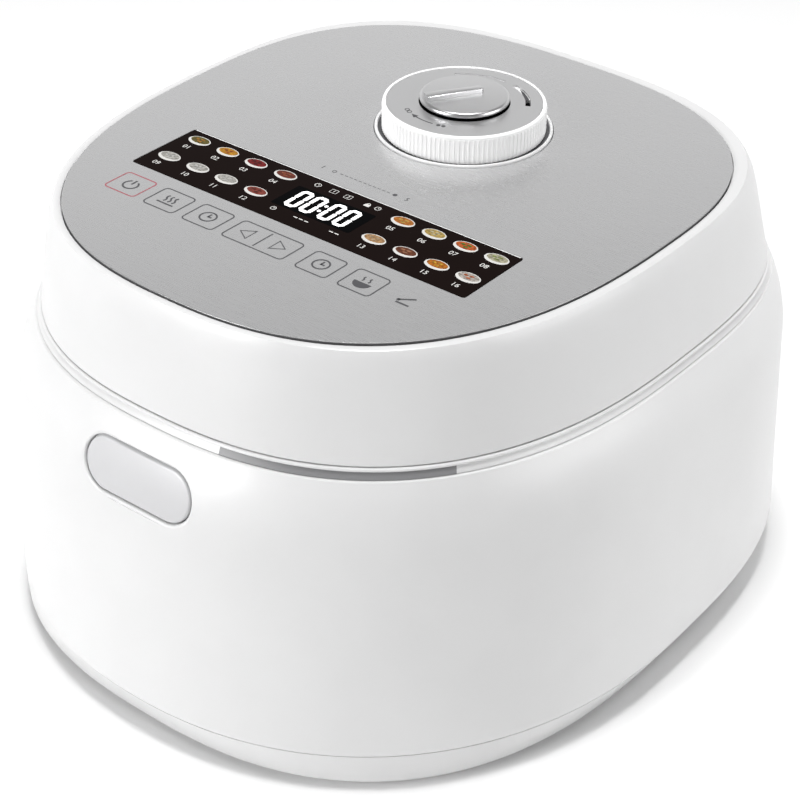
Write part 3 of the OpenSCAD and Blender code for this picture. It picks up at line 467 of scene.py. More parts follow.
panel_silver = metal("brushed silver panel", (0.632, 0.632, 0.637), 0.29, (0.02, 1, 1), 0.16,
                     0.0015, 0.85, 0.035)
face_silver = metal("silver lacquer", (0.62, 0.62, 0.625), 0.32, (1, 1, 1), 0.2, 0.0012,
                    0.85, 0.04)
disc_silver = metal("satin chrome", (0.65, 0.65, 0.655), 0.33, (1, 1, 1), 0.25, 0.0006,
                    0.9, 0.02)
steel = metal("plain steel", (0.5, 0.5, 0.51), 0.32, (1, 1, 0.1), 0.1, 0.003)
ground_steel = metal("ground steel", (0.56, 0.56, 0.57), 0.22, (0.05, 1, 1), 0.1, 0.002)
spring_steel = metal("spring wire", (0.38, 0.38, 0.39), 0.3, (1, 1, 1), 0.3, 0.002)
cast_alu = metal("extruded aluminium", (0.62, 0.62, 0.63), 0.38, (1, 1, 0.05), 0.2, 0.004)
lid_alu = metal("inner lid aluminium", (0.66, 0.66, 0.67), 0.34, (1, 1, 1), 0.5, 0.004)
foil = metal("belt foil", (0.68, 0.68, 0.69), 0.28, (1, 1, 1), 2.0, 0.05)
copper = metal("enamelled copper", (0.56, 0.22, 0.09), 0.3, (1, 1, 1), 0.3, 0.006, 0.9)
brass = metal("plated contact", (0.62, 0.46, 0.2), 0.28, (1, 0.1, 1), 0.1, 0.003)
ferrite = metal("ferrite ceramic", (0.05, 0.05, 0.055), 0.55, (1, 1, 1), 0.3, 0.01, 0.4)
print("metals ready")

# %% [markdown]
# Three finishes are patterns of their own: the pot's dark coating with its fine light flecks,
# the green boards with their copper tracks under the lacquer, and the smoked window, which is
# so dark that only its gloss shows.

# %% Coated pot, circuit board and smoked window
def coated_pot():
    coat = Coat("pot coating", (0.045, 0.045, 0.047), 0.42, Coat_Weight=0.15)
    flecks = coat.ramp(coat.noise(0.5, detail=1.0), 0.62, 0.7)
    mixed = coat.blend(flecks, (0.04, 0.04, 0.042, 1), (0.2, 0.2, 0.2, 1))
    return coat.varied(mixed, 0.42 + flecks * 0.1, coat.noise(0.35, detail=2.0), 0.01)


def circuit():
    coat = Coat("circuit board", (0.02, 0.12, 0.05), 0.35)
    tracks = coat.node("ShaderNodeTexVoronoi", "Distance",
                       {"feature": "DISTANCE_TO_EDGE", "distance": "CHEBYCHEV"},
                       Vector=coat.place(), Scale=1 / (5 * MM))
    line = 1 - coat.ramp(tracks, 0.04, 0.07)
    mixed = coat.blend(line, (0.015, 0.10, 0.04, 1), (0.05, 0.24, 0.09, 1))
    return coat.varied(mixed, 0.36 - line * 0.08, line, 0.02)


def smoked_window():
    coat = Coat("smoked window", (0.0080, 0.0048, 0.0043), 0.12, Specular_IOR_Level=0.006)
    haze = coat.noise(20, detail=2.0)
    mixed = coat.blend(haze, (0.0072, 0.0043, 0.0038, 1), (0.0088, 0.0053, 0.0048, 1))
    return coat.varied(mixed, 0.1 + haze * 0.05)


pot_coating, board_green, window_glass = coated_pot(), circuit(), smoked_window()
print("special finishes ready")

# %% [markdown]
# ## The barrel of the body
# One white moulding, widest just above the base, with a shoulder that rolls in under the lid.
# The construction node has flat facets, so the skin is drawn again by the same rule with far
# more steps. The openings for the button, the hinge and the inlet are cut with Booleans, and a
# separate rolled edge, which follows the barrel, finishes the button's cut as the mould does.

# %% Body skin with its openings
SHELL_TOP = SEAM_Z - 4.4
BUTTON_W, BUTTON_H, BUTTON_Z = 54.2, 21.8, 118.0
BUTTON_GAP = 0.45
EDGE_ROLL = 1.3


def stadium(width, height, steps=48):
    turn = np.linspace(-math.pi / 2, math.pi / 2, steps)
    half = (width - height) / 2
    right_end = np.column_stack([half + height / 2 * np.cos(turn), height / 2 * np.sin(turn)])
    return np.vstack([right_end, -right_end])


def surface_y(x, z):
    return front_y(body_plan(z), x)


def steps_in(plan, steps):
    return [ring_at(inset(plan, by), z) for by, z in steps]


def levels_of(rule, heights, by=0.0):
    return [ring_at(inset(rule(z), by), z) for z in heights]


def body_rings():
    edge_z = SHELL_TOP - 0.7
    foot = steps_in(body_plan(BASE_Z), [(0.8, BASE_Z)])
    foot += steps_in(body_plan(BASE_Z + 0.4), [(0.25, BASE_Z + 0.3)])
    outer = levels_of(body_plan, [BASE_Z + 1.1, *np.linspace(20, edge_z, 58)])
    lip = steps_in(body_plan(edge_z), [(0.12, SHELL_TOP - 0.4), (0.4, SHELL_TOP - 0.1),
                                       (0.8, SHELL_TOP), (2.2, SHELL_TOP)])
    lip += steps_in(SEAM_PLAN, [(WALL - 1, SHELL_TOP), (WALL - 1, SHELL_TOP - 1.8)])
    inner = levels_of(body_plan, np.linspace(SHELL_TOP - 5, BASE_Z, 24), WALL)
    return foot + outer + lip + inner


def pill_wall(loop, near, far):
    return [np.column_stack([loop[:, 0], np.full(len(loop), y), loop[:, 1] + BUTTON_Z])
            for y in (near, far)]


def block(name, left, right, front, rear, low, high):
    return plate(name, [[(left, front), (right, front), (right, rear), (left, rear)]], low, high)


def cut_away(mesh, *openings):
    whole = placed("uncut", mesh)
    for opening in openings:
        cutter = placed("cutter", opening)
        cut = whole.modifiers.new("cut", "BOOLEAN")
        cut.object, cut.operation, cut.solver = cutter, "DIFFERENCE", "EXACT"
        result = baked(whole)
        whole.modifiers.remove(cut)
        bpy.data.objects.remove(cutter)
        whole.data = result
    bpy.data.objects.remove(whole)
    return result


NOTCH_HALF, OPENING_GAP = 58, 0.3
REACH_OUT, REACH_IN, REACH_REAR = 20, 18, 60


def body_skin():
    spread = 2 * (BUTTON_GAP + EDGE_ROLL)
    hole = stadium(BUTTON_W + spread, BUTTON_H + spread)
    front = surface_y(0, BUTTON_Z)
    pill = skin("pill", pill_wall(hole, front - REACH_OUT, front + REACH_IN), closed=False)
    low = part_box("hinge_bracket")[0] / MM
    notch = block("notch", -NOTCH_HALF, NOTCH_HALF, low.y, low.y + REACH_REAR,
                  low.z - OPENING_GAP, SHELL_TOP + 5)
    low, high = (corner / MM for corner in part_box("inlet_housing"))
    socket = block("socket", low.x - OPENING_GAP, high.x + OPENING_GAP, low.y,
                   low.y + REACH_REAR, low.z - OPENING_GAP, high.z + OPENING_GAP)
    return cut_away(skin("uncut", body_rings()), pill, notch, socket)


body_shell = stand_in("body_skin", body_skin(), gloss_white, "outer_shell", SHELL_ANGLE)
print("body skin faces:", len(body_shell.data.polygons))

# %% [markdown]
# The rolled edge of the button's opening and the button itself are swept: each point
# of the pill-shaped loop asks the outline rule how far forward the barrel is there. The stem
# that works the latch is cut from the construction node, because its place matters.

# %% Rolled edge and button
def pill_sweep(name, profile, closed=True, steps=40):
    rings = []
    for grow, depth in profile:
        loop = stadium(BUTTON_W + 2 * grow, BUTTON_H + 2 * grow, steps)
        rings.append(np.array([(x, surface_y(x, BUTTON_Z + z) + depth, BUTTON_Z + z)
                               for x, z in loop]))
    return skin(name, rings, closed)


def rounding(start, grow, depth):
    return [(start + grow * (1 - math.sin(a)), depth + abs(grow) * (1 - math.cos(a)))
            for a in np.linspace(0, math.pi / 2, 7)]


EDGE_DEPTH = 5.0
edge_profile = rounding(BUTTON_GAP, EDGE_ROLL, 0)
edge_profile += [(BUTTON_GAP, EDGE_DEPTH), (BUTTON_GAP + EDGE_ROLL, EDGE_DEPTH)]
put("button_edge", pill_sweep("button_edge", edge_profile), gloss_white, "outer_shell")

FACE_DEPTH, BUTTON_ROUND, BUTTON_BACK = 0.55, 1.2, 5.2
face_levels = [(-inwards, FACE_DEPTH) for inwards in np.linspace(BUTTON_H / 2 - 0.3, 1.5, 9)]
face_levels += rounding(0, -BUTTON_ROUND, FACE_DEPTH) + [(0, BUTTON_BACK)]
button_face = pill_sweep("button_face", face_levels, False)
whole_button = clean_mesh("release_button")
back_y = max(v.co.y for v in whole_button.vertices if abs(v.co.x) > 0.01) / MM
for vertex in button_face.vertices:
    vertex.co.y = min(vertex.co.y, back_y * MM)
STEM_OVERLAP, CUT_HALF = 0.4, 40
front_part = block("front_part", -CUT_HALF, CUT_HALF, back_y - CUT_HALF,
                   back_y - STEM_OVERLAP, BUTTON_Z - CUT_HALF, BUTTON_Z + CUT_HALF)
stem = cut_away(whole_button, front_part)
button = stand_in("button", joined("button", [button_face, stem]), pale_button,
                  "release_button")
print("button faces:", len(button.data.polygons))

# %% [markdown]
# ## Lid, lip and inlay
# The lid's side wall is a second white moulding. It stands on a thin lip, with a recessed band
# under it, so that a fine shadow runs round the cooker. Its crest lies a little lower than the
# silver sheet, and a dark band on the sheet's edge is painted shade, the dark line round the top.

# %% Lid skin
LID_LOW = SEAM_Z + 0.35
LEDGE_Z = PANEL_Z - 2.4
PANEL_STEP, CREST_RISE = 1.1, 0.3
EVEN_SHARE, CLOSE_SHARE, CLOSING = 0.8, 0.19, 1.6


def lid_rings():
    top = PANEL_Z - PANEL_STEP
    height = top - LID_LOW
    outer = steps_in(lid_plan(LID_LOW), [(0.8, LID_LOW), (0.3, LID_LOW + 0.1),
                                         (0.05, LID_LOW + 0.35)])
    outer += levels_of(lid_plan, np.linspace(LID_LOW + 2, LID_LOW + EVEN_SHARE * height, 16))
    outer += levels_of(lid_plan, top - height * CLOSE_SHARE * np.linspace(1, 0, 14) ** CLOSING)
    crest = top + CREST_RISE
    edge = steps_in(PANEL_PLAN, [
        (-PANEL_EDGE + 0.3, crest - 0.12), (-PANEL_EDGE + 0.8, crest), (-0.8, crest),
        (-0.5, crest - 0.1), (-0.4, crest - 0.4), (-0.4, LEDGE_Z), (5, LEDGE_Z),
        (5, LEDGE_Z - 1.8)])
    inner = levels_of(lid_plan, np.linspace(LEDGE_Z - 3.6, LID_LOW, 10), WALL)
    return outer + edge + inner


lid_wall = stand_in("lid_wall", skin("lid_wall", lid_rings()), gloss_white, "lid_shell",
                    SHELL_ANGLE)
print("lid faces:", len(lid_wall.data.polygons))

# %% [markdown]
# The rim and the bottom tray have plenty of inner detail in their construction nodes, which is
# kept. Only their outer walls are drawn again, as closed bands a hair outside the old ones, so
# that lip, recess and taper run as smoothly as the barrel they meet. The grey inlay fills the
# band on the right of the front.

# %% Lip and recess, grey inlay and bottom tray
LIP_LOW = SEAM_Z - 1.35
BAND_Z = SEAM_Z - 4.35
BAND_HIGH_OUT, BAND_LOW_OUT = 0.3, 1.7
INLAY_FROM, INLAY_TO = math.radians(-78.3), math.radians(-46.2)
BASE_STEP, FLOOR_Z, BOTTOM_EDGE = 0.75, 2.8, 1.3
BOTTOM_PLAN = BASE_PLAN + np.array([-7.7, -0.4, -13.4, 5.8, 0.36, 0])


def with_band(node, paint, rings):
    return clean_copy(node, paint, DECK_ANGLE, [skin(node + "_band", rings)])


lip_rings = steps_in(SEAM_PLAN, [(-out, z) for out, z in (
    (-2.6, BAND_Z), (BAND_LOW_OUT - 0.6, BAND_Z), (BAND_LOW_OUT - 0.15, BAND_Z + 0.1),
    (BAND_LOW_OUT, BAND_Z + 0.4), (BAND_HIGH_OUT, LIP_LOW), (0.6, LIP_LOW + 0.05),
    (0.8, LIP_LOW + 0.3), (0.85, SEAM_Z - 0.7), (0.7, SEAM_Z - 0.35), (0.4, SEAM_Z - 0.1),
    (0.0, SEAM_Z + 0.03), (-2.6, SEAM_Z + 0.03))])
rim = with_band("rim_ring", gloss_white, lip_rings)

inlay_section = ((0.2, BAND_Z + 0.15), (BAND_LOW_OUT + 0.02, BAND_Z + 0.15),
                 (BAND_LOW_OUT + 0.05, BAND_Z + 0.4), (BAND_HIGH_OUT + 0.05, LIP_LOW - 0.05),
                 (-0.2, LIP_LOW - 0.05))
inlay_turns = np.linspace(INLAY_FROM, INLAY_TO, 64)
inlay_rows = [lifted(outline(inset(SEAM_PLAN, -out), inlay_turns), z)
              for out, z in inlay_section]
inlay = stand_in("inlay", skin("inlay", np.stack(inlay_rows, axis=1), False), inlay_grey,
                 "rim_insert")

TRAY_LOW, TRAY_TOP = FLOOR_Z + BOTTOM_EDGE, BASE_Z - 0.4
tray_rings = steps_in(BOTTOM_PLAN, [(2.5, FLOOR_Z + 0.01), (1.25, FLOOR_Z + 0.01),
                                    (0.3, FLOOR_Z + 0.4), (-0.1, TRAY_LOW)])
for rise in np.linspace(0, 1, 8)[1:]:
    plan = BOTTOM_PLAN + (inset(BASE_PLAN, BASE_STEP) - BOTTOM_PLAN) * rise
    tray_rings.append(ring_at(inset(plan, -0.1), TRAY_LOW + (TRAY_TOP - TRAY_LOW) * rise))
tray_rings.append(ring_at(inset(BASE_PLAN, 2.5), TRAY_TOP))
base = with_band("base_cover", gloss_white, tray_rings)
print("rim, inlay and tray:", [len(o.data.polygons) for o in (rim, inlay, base)])

# %% [markdown]
# ## Top panel and window
# A brushed silver sheet is let into the lid, with a round hole for the steam cap and a long
# cut-out that holds the smoked window. Curves in 2D fill themselves, holes included, and their
# bevel gives each cut edge the small light-catching chamfer of a real pressing. A thin dark
# band on the sheet's edge is painted shade, the shadow line between the sheet and the lid.

# %% Silver panel and smoked window
CAP_Y = 44.8
CAP_R = 34.6
BEZEL_R = CAP_R + 3.0
WINDOW_W, WINDOW_D, WINDOW_Y = 168.6, 37.4, -48.3
WINDOW_TOP = PANEL_Z + 0.1


def rounded_box(width, depth, radius, at=(0.0, 0.0), steps=8):
    corners = []
    for turn, sx, sy in ((0, 1, 1), (1, -1, 1), (2, -1, -1), (3, 1, -1)):
        for a in np.linspace(turn, turn + 1, steps) * math.pi / 2:
            corners.append((at[0] + sx * (width / 2 - radius) + radius * math.cos(a),
                            at[1] + sy * (depth / 2 - radius) + radius * math.sin(a)))
    return np.array(corners)


panel_loops = [outline(PANEL_PLAN), circle(BEZEL_R + 0.3, (0, CAP_Y)),
               rounded_box(WINDOW_W + 0.4, WINDOW_D + 0.4, 1.4, (0, WINDOW_Y))]
panel = stand_in("panel", plate("panel", panel_loops, LEDGE_Z, PANEL_Z, 0.2), panel_silver,
                 "top_panel", SHEET_ANGLE)
# The dark band round the sheet's edge is painted shade, standing for the shadow line at the lid.
edge_shade_rings = steps_in(PANEL_PLAN, [(-0.04, LEDGE_Z), (-0.04, PANEL_Z - 0.2),
                                  (0.4, PANEL_Z - 0.21), (0.4, LEDGE_Z), (-0.04, LEDGE_Z)])
put("panel_edge_painted_shade", skin("panel_edge_painted_shade", edge_shade_rings, False), panel_edge_shade, "top_panel")
window_loop = rounded_box(WINDOW_W, WINDOW_D, 1.2, (0, WINDOW_Y))
window_mesh = plate("window", [window_loop], LEDGE_Z + 0.4, WINDOW_TOP, 0.12)
window = stand_in("window", window_mesh, window_glass, "display_window", SHEET_ANGLE)
print("panel and window:", len(panel.data.polygons), len(window.data.polygons))

# %% [markdown]
# ## Printed marks
# Prints are real ink films here, some hundredths of a millimetre thick, cut from outlines. A
# stroke helper turns a line of points into a closed outline, and numerals come from the
# built-in font. Sixteen dishes, plain numbers, a clock face with seven-bar figures and simple
# signs on the keys say what each place does without any words.

# %% Inks, strokes and numerals
INK = 0.05
DIGIT_SHARE = 0.72


def ink(name, colour, roughness=0.4, **constants):
    coat = Coat(name, colour, roughness, **constants)
    wear = coat.noise(0.8, detail=2.0)
    mixed = coat.blend(wear, shaded(colour, 0.93), shaded(colour, 1.07))
    return coat.varied(mixed, roughness + (wear - 0.5) * 0.1)


# The dark grey ink prints marks, and also paints shade in the steam cap's groove and by its slot.
print_and_shade_ink = ink("dark grey ink and painted shade", (0.05, 0.05, 0.055))
red_ink = ink("red ink", (0.32, 0.07, 0.09))
white_ink = ink("white ink", (0.62, 0.61, 0.59))
# Pale ink for the window's rear edge: a painted highlight.
edge_highlight_ink = ink("painted edge highlight", (0.74, 0.74, 0.74))
bowl_ink = ink("bowl white", (0.58, 0.57, 0.55), 0.3, Specular_IOR_Level=0.2)
# This black is the clock pane, and also paints the shadow under the cap's disc and the shade in
# its slot.
pane_and_shade_black = ink("clock pane", (0.0015, 0.0016, 0.0019), 0.2, Specular_IOR_Level=0.006)
lit_white = ink("lit figures", (0.9, 0.9, 0.9), 0.35, Emission_Color=(1, 1, 1, 1),
                Emission_Strength=0.55)


def stroke(points, width):
    line = np.array(points, float)
    along = np.gradient(line, axis=0)
    along /= np.linalg.norm(along, axis=1)[:, None]
    side = np.column_stack([-along[:, 1], along[:, 0]]) * width / 2
    return np.vstack([line + side, (line - side)[::-1]])


def arc(radius, start, end, at=(0.0, 0.0), steps=24):
    turn = np.radians(np.linspace(start, end, steps))
    return np.column_stack([at[0] + radius * np.cos(turn), at[1] + radius * np.sin(turn)])


def hollow(loop, width):
    middle = loop.mean(axis=0)
    inward = loop - middle
    reach = np.linalg.norm(inward, axis=1)[:, None]
    return [loop, middle + inward * (1 - width / reach.min())]


def numeral(text, height, at, z):
    curve = bpy.data.curves.new(text, "FONT")
    curve.body = text
    curve.align_x, curve.align_y = "CENTER", "CENTER"
    curve.size = height / DIGIT_SHARE
    curve.extrude = INK / 2
    curve.resolution_u = 3
    return flattened(text, curve, z + INK / 2, at=at)


def prints(name, loops, z, paint, numerals=(), slot="display_window"):
    meshes = [plate(name, [loop] if isinstance(loop, np.ndarray) else loop, z, z + INK)
              for loop in loops]
    meshes += [numeral(text, height, at, z) for text, height, at in numerals]
    return put(name, joined(name, meshes), paint, slot, SHEET_ANGLE)


print("inks:", sum("ink" in m.name for m in bpy.data.materials))

# %% [markdown]
# ### The display
# The clock pane is blacker than the window round it. Its figures are built from bars, as the
# real ones are. A nought has six of them, and the middle bar isn't needed.

# %% Clock pane and figures
PANE = rounded_box(39.6, 17.6, 0.8, (1.3, -48.4))
FIGURE_W, FIGURE_H, BAR = 6.1, 14.4, 1.75
FIGURE_X = (-14.1, -6.6, 2.7, 10.3)
FIGURE_Y = -55.6
BARS = {"top": ((0, 1), (1, 1)), "high left": ((0, 0.5), (0, 1)),
        "high right": ((1, 0.5), (1, 1)), "low left": ((0, 0), (0, 0.5)),
        "low right": ((1, 0), (1, 0.5)), "bottom": ((0, 0), (1, 0))}


def bar_loop(start, end):
    a, b = np.array(start, float), np.array(end, float)
    along = (b - a) / np.linalg.norm(b - a)
    side = np.array([-along[1], along[0]]) * BAR / 2
    tip, gap = along * BAR * 0.42, along * 0.14
    point, neck = gap - tip * 0.3, gap + tip * 0.7
    return np.array([a + point, a + neck + side, b - neck + side,
                     b - point, b - neck - side, a + neck - side])


figures = []
for left in FIGURE_X:
    size = np.array([FIGURE_W - BAR, FIGURE_H - BAR])
    corner = np.array([left + BAR / 2, FIGURE_Y + BAR / 2])
    figures += [bar_loop(corner + np.array(p) * size, corner + np.array(q) * size)
                for p, q in BARS.values()]
colon = [circle(0.85, (1.05, FIGURE_Y + FIGURE_H * part), 16) for part in (0.34, 0.66)]
prints("clock_pane", [PANE], WINDOW_TOP, pane_and_shade_black, slot="lcd_module")
prints("clock_figures", figures + colon, WINDOW_TOP + INK, lit_white, slot="lcd_module")
# A pale stroke along the window's rear edge only is a painted highlight of its bevel.
edge_x, edge_y = WINDOW_W / 2 - 1, WINDOW_Y + WINDOW_D / 2 - 0.35
prints("window_painted_highlight", [stroke([(-edge_x, edge_y), (edge_x, edge_y)], 0.45)], WINDOW_TOP, edge_highlight_ink)
print("bars:", len(figures))

# %% [markdown]
# ### The dishes
# Each dish is a white bowl with two inks on it, one for the food and one for what lies on top.
# The two inks are one print each for all the dishes: every face takes the colour of the dish
# it is nearest to, as an attribute that the shader reads.

# %% Dish symbols and their numbers
DISH_X = (-75.6, -59.9, -44.4, -28.6, 31.6, 46.9, 62.0, 76.7)
REAR_Y, FRONT_Y = -36.4, -54.4
DISH_W, DISH_D = 10.8, 6.8
FOOD_W, FOOD_D, FOOD_UP = 9.3, 4.9, 0.5
INK_SHARE = 0.55
FOODS = {
    "greens": ((0.2, 0.16, 0.03), (0.62, 0.26, 0.03)),
    "egg": ((0.78, 0.36, 0.02), (0.46, 0.1, 0.02)),
    "beans": ((0.3, 0.012, 0.012), (0.1, 0.004, 0.004)),
    "stew": ((0.24, 0.045, 0.02), (0.46, 0.13, 0.06)),
    "rice": ((0.66, 0.64, 0.59), (0.8, 0.79, 0.76)),
    "beef": ((0.36, 0.07, 0.045), (0.14, 0.02, 0.012)),
    "curry": ((0.7, 0.24, 0.03), (0.76, 0.5, 0.12)),
    "corn": ((0.72, 0.5, 0.14), (0.8, 0.72, 0.48)),
    "salmon": ((0.74, 0.16, 0.03), (0.12, 0.3, 0.03)),
    "millet": ((0.64, 0.6, 0.42), (0.36, 0.42, 0.13)),
    "bread": ((0.66, 0.38, 0.17), (0.76, 0.56, 0.36)),
    "cocoa": ((0.22, 0.06, 0.02), (0.48, 0.22, 0.12)),
    "soup": ((0.7, 0.22, 0.01), (0.84, 0.48, 0.05)),
    "porridge": ((0.68, 0.62, 0.56), (0.7, 0.16, 0.04)),
}
REAR_FOODS = ("greens", "egg", "beans", "stew", "curry", "corn", "salmon", "millet")
FRONT_FOODS = ("rice", "rice", "rice", "beef", "bread", "cocoa", "soup", "porridge")
dishes = [((x, y), food) for y, foods in ((REAR_Y, REAR_FOODS), (FRONT_Y, FRONT_FOODS))
          for x, food in zip(DISH_X, foods)]


def ellipse(width, depth, at, steps=40):
    return circle(0.5, steps=steps) * np.array([width, depth]) + np.array(at)


bowls = [ellipse(DISH_W, DISH_D, at) for at, food in dishes]
servings = [ellipse(FOOD_W, FOOD_D, (at[0], at[1] + FOOD_UP)) for at, food in dishes]
prints("dish_bowls", bowls, WINDOW_TOP, bowl_ink)


def serving_ink():
    coat = Coat("servings", (0.5, 0.2, 0.05), 0.35, Specular_IOR_Level=0.1)
    tint = coat.node("ShaderNodeAttribute", "Color", {"attribute_name": "serving"})
    bits = coat.ramp(coat.noise(1.1, detail=3.0), 0.35, 0.65)
    dark = coat.node("ShaderNodeVectorMath", "Vector", {"operation": "SCALE"}, i0=tint,
                     Scale=0.45)
    return coat.varied(coat.blend(bits, dark, tint), 0.32 + bits * 0.15)


def tinted(name, shapes, level, coat):
    piece = prints(name, shapes, level, serving_ink())
    tints = piece.data.color_attributes.new("serving", "FLOAT_COLOR", "CORNER")
    places = np.array([at for at, food in dishes])
    for face in piece.data.polygons:
        nearest = np.argmin(np.hypot(*(places - np.array(face.center[:2]) / MM).T))
        for corner in face.loop_indices:
            tints.data[corner].color = shaded(FOODS[dishes[nearest][1]][coat], INK_SHARE)


tinted("dish_servings", servings, WINDOW_TOP + INK, 0)
BITS = ((-1.7, 0.5, 1.9, 1.1), (0.9, 0.8, 2.2, 1.0), (0.3, -0.9, 2.4, 0.9))
toppings = [ellipse(w, d, (at[0] + x, at[1] + 0.45 + y)) for at, food in dishes
            for x, y, w, d in BITS]
tinted("dish_toppings", toppings, WINDOW_TOP + 2 * INK, 1)

LABEL_DROP, LABEL_H = 7.3, 2.7
labels = [(str(i + 1).zfill(2), LABEL_H, (at[0] - 0.5, at[1] - LABEL_DROP))
          for i, (at, food) in enumerate(dishes)]
SIGN_Y, DOT_Y = -34.5, -60.4
TIMERS = {"1": (-4.6, -34.6), "2": (2.6, -34.6)}
timer_boxes = [hollow(rounded_box(3.4, 3.0, 0.4, at), 0.25) for at in TIMERS.values()]
timer_numbers = [(number, 1.9, at) for number, at in TIMERS.items()]


def little_clock(x, y, radius, width=0.3):
    return [hollow(circle(radius, (x, y), 32), width),
            stroke([(x, y - width / 2), (x, y + radius * 0.6)], width),
            stroke([(x - width / 2, y), (x + radius * 0.45, y)], width)]


def little_lock(x, y):
    return [rounded_box(2.6, 1.9, 0.3, (x, y - 0.6)),
            stroke(arc(0.8, 0, 180, (x, y + 0.3), 12), 0.35)]


signs = little_clock(-13.0, SIGN_Y, 1.5) + little_lock(12.6, SIGN_Y)
signs += little_clock(17.6, SIGN_Y, 1.4) + little_clock(-14.2, DOT_Y + 0.1, 1.3)
dots = [stroke([(x, DOT_Y), (x + 1.9, DOT_Y)], 0.6) for x in (-3.6, -0.9, 1.8, 14.4, 17.1)]
prints("display_signs", timer_boxes + signs + dots, WINDOW_TOP, white_ink,
       labels + timer_numbers)
print("dishes:", len(dishes))

# %% [markdown]
# ### The touch keys
# The keys have no edges of their own: they are thin outlines printed on the silver, with a
# touch spring under each. Signs stand where words would be, and the first key, which stops
# everything, has a red line.

# %% Key outlines, signs and the softness scale
KEY_Y, KEY_D = -81.8, 15.2
KEY_ROUND, KEY_LINE = 2.2, 0.58


def key_outline(left, right):
    middle, width = ((left + right) / 2, KEY_Y), right - left
    return [rounded_box(width, KEY_D, KEY_ROUND, middle),
            rounded_box(width - 2 * KEY_LINE, KEY_D - 2 * KEY_LINE, KEY_ROUND - KEY_LINE, middle)]


def triangle(x, y, size, way):
    return hollow(np.array([(x + way * size, y), (x - way * size * 0.55, y + size),
                            (x - way * size * 0.55, y - size)]), 0.8)


def power_sign(x, y, radius):
    return [stroke(arc(radius, 120, 420, (x, y), 32), 0.8),
            stroke([(x, y + 0.4), (x, y + radius + 0.7)], 0.8)]


def wave(x, y, swing, turn, rise, width, steps):
    t = np.linspace(0, 1, steps)
    return stroke(np.column_stack([x + swing * np.sin(t * turn), y + rise * t]), width)


def heat_sign(x, y):
    waves = [wave(x + shift, y - 1.6, 0.55, 2 * math.pi, 4.6, 0.75, 20)
             for shift in (-2.2, 0, 2.2)]
    return waves + [stroke([(x - 4.2, y - 3.1), (x + 4.2, y - 3.1)], 0.8)]


def bowl_sign(x, y):
    half = np.vstack([arc(4.0, 180, 360, (x, y), 24), [(x + 4.0, y)]])
    return [half] + [wave(x + shift, y + 1.0, 0.35, 6, 3.0, 0.65, 14) for shift in (-1.5, 1.5)]


def open_sign(x, y):
    return [stroke([(x - 3.0, y - 3.0), (x + 3.0, y - 3.0)], 0.9),
            stroke([(x - 3.0, y - 1.3), (x + 2.4, y + 2.6)], 0.9),
            circle(0.8, (x - 3.0, y - 1.3), 16)]


plain_keys = [key_outline(*ends) for ends in (
    (-57.9, -41.4), (-37.2, -20.7), (-16.4, 14.8), (20.6, 36.2), (41.2, 56.9))]
divider = [stroke([(-0.7, -75.9), (-0.7, -87.7)], KEY_LINE)]
key_signs = heat_sign(-49.6, KEY_Y + 0.2) + little_clock(-29, KEY_Y, 3.8, 0.75)
key_signs += [triangle(-8.6, KEY_Y, 3.9, -1), triangle(7.1, KEY_Y, 3.9, 1)]
key_signs += little_clock(28.4, KEY_Y, 3.8, 0.75) + bowl_sign(49.0, KEY_Y - 0.4)
key_signs += open_sign(69.4, KEY_Y)
prints("stop_key", [key_outline(-79.0, -62.4)], PANEL_Z, red_ink, slot="top_panel")
SCALE_Y = -21.2
scale = [stroke([(x, SCALE_Y), (x + 1.5, SCALE_Y)], 0.3) for x in np.arange(-12.5, 12, 2.4)]
scale += [hollow(circle(1.0, (-15.6, SCALE_Y), 20), 0.3), circle(1.0, (15.6, SCALE_Y), 20)]
stop_sign = power_sign(-70.5, KEY_Y - 0.3, 3.2)
prints("panel_marks", plain_keys + divider + key_signs + stop_sign + scale, PANEL_Z, print_and_shade_ink,
       [("1", 2.6, (-21.6, SCALE_Y)), ("5", 2.6, (21.6, SCALE_Y))], slot="top_panel")
print("keys:", len(plain_keys) + 1)

# %% [markdown]
# ## Steam cap
# The cap is turned work: a white bezel ring let into the panel, a ribbed grip ring, a silver
# face with the steam slot, and a disc with a finger bar. A thin dark ring printed in the groove
# round the ring is painted shade. The ribs are one small rod set on a circle by Geometry Nodes,
# so their number and size stay open to change.

# %% Bezel, grip ring and ribs
CAP = (0.0, CAP_Y)
RING_LOW, RING_TOP = PANEL_Z + 0.6, PANEL_Z + 12.1
SKIRT_LOW = PANEL_Z - 0.15
FACE_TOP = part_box("ring_face")[1].z / MM
CAP_IN = CAP_R - 1.7
HUB_R, SPINDLE_R = 9.0, 5.0
RIB_COUNT, RIB_R, RIB_OUT = 108, 0.7, 0.22
DISC_R = 19.0
SLOT_R, SLOT_W, SLOT_FROM, SLOT_TO = (CAP_IN + DISC_R) / 2 + 0.6, 2.2, 30, 46
BEZEL_IN = 33.2
bezel_bead = [(BEZEL_R - by, PANEL_Z + up) for by, up in (
    (0, -0.9), (0, 0.35), (0.12, 0.7), (0.4, 0.93), (0.7, 1.0), (1.0, 0.93), (1.25, 0.7),
    (1.35, 0.3), (1.35, -0.4))]
bezel_profile = [(BEZEL_IN, LEDGE_Z + 0.3), (BEZEL_R - 1.7, LEDGE_Z + 0.3),
                 (BEZEL_R - 1.7, PANEL_Z - 0.9)] + bezel_bead + [(BEZEL_IN, PANEL_Z - 0.4)]
stand_in("bezel", turned("bezel", bezel_profile, CAP), gloss_white, "cap_bezel")
# A dark ring on the groove's floor round the grip ring is painted shade.
prints("groove_painted_shade", [[circle(BEZEL_R - 1.4, CAP), circle(CAP_IN + 0.6, CAP)]],
       PANEL_Z - 0.4, print_and_shade_ink, slot="cap_bezel")

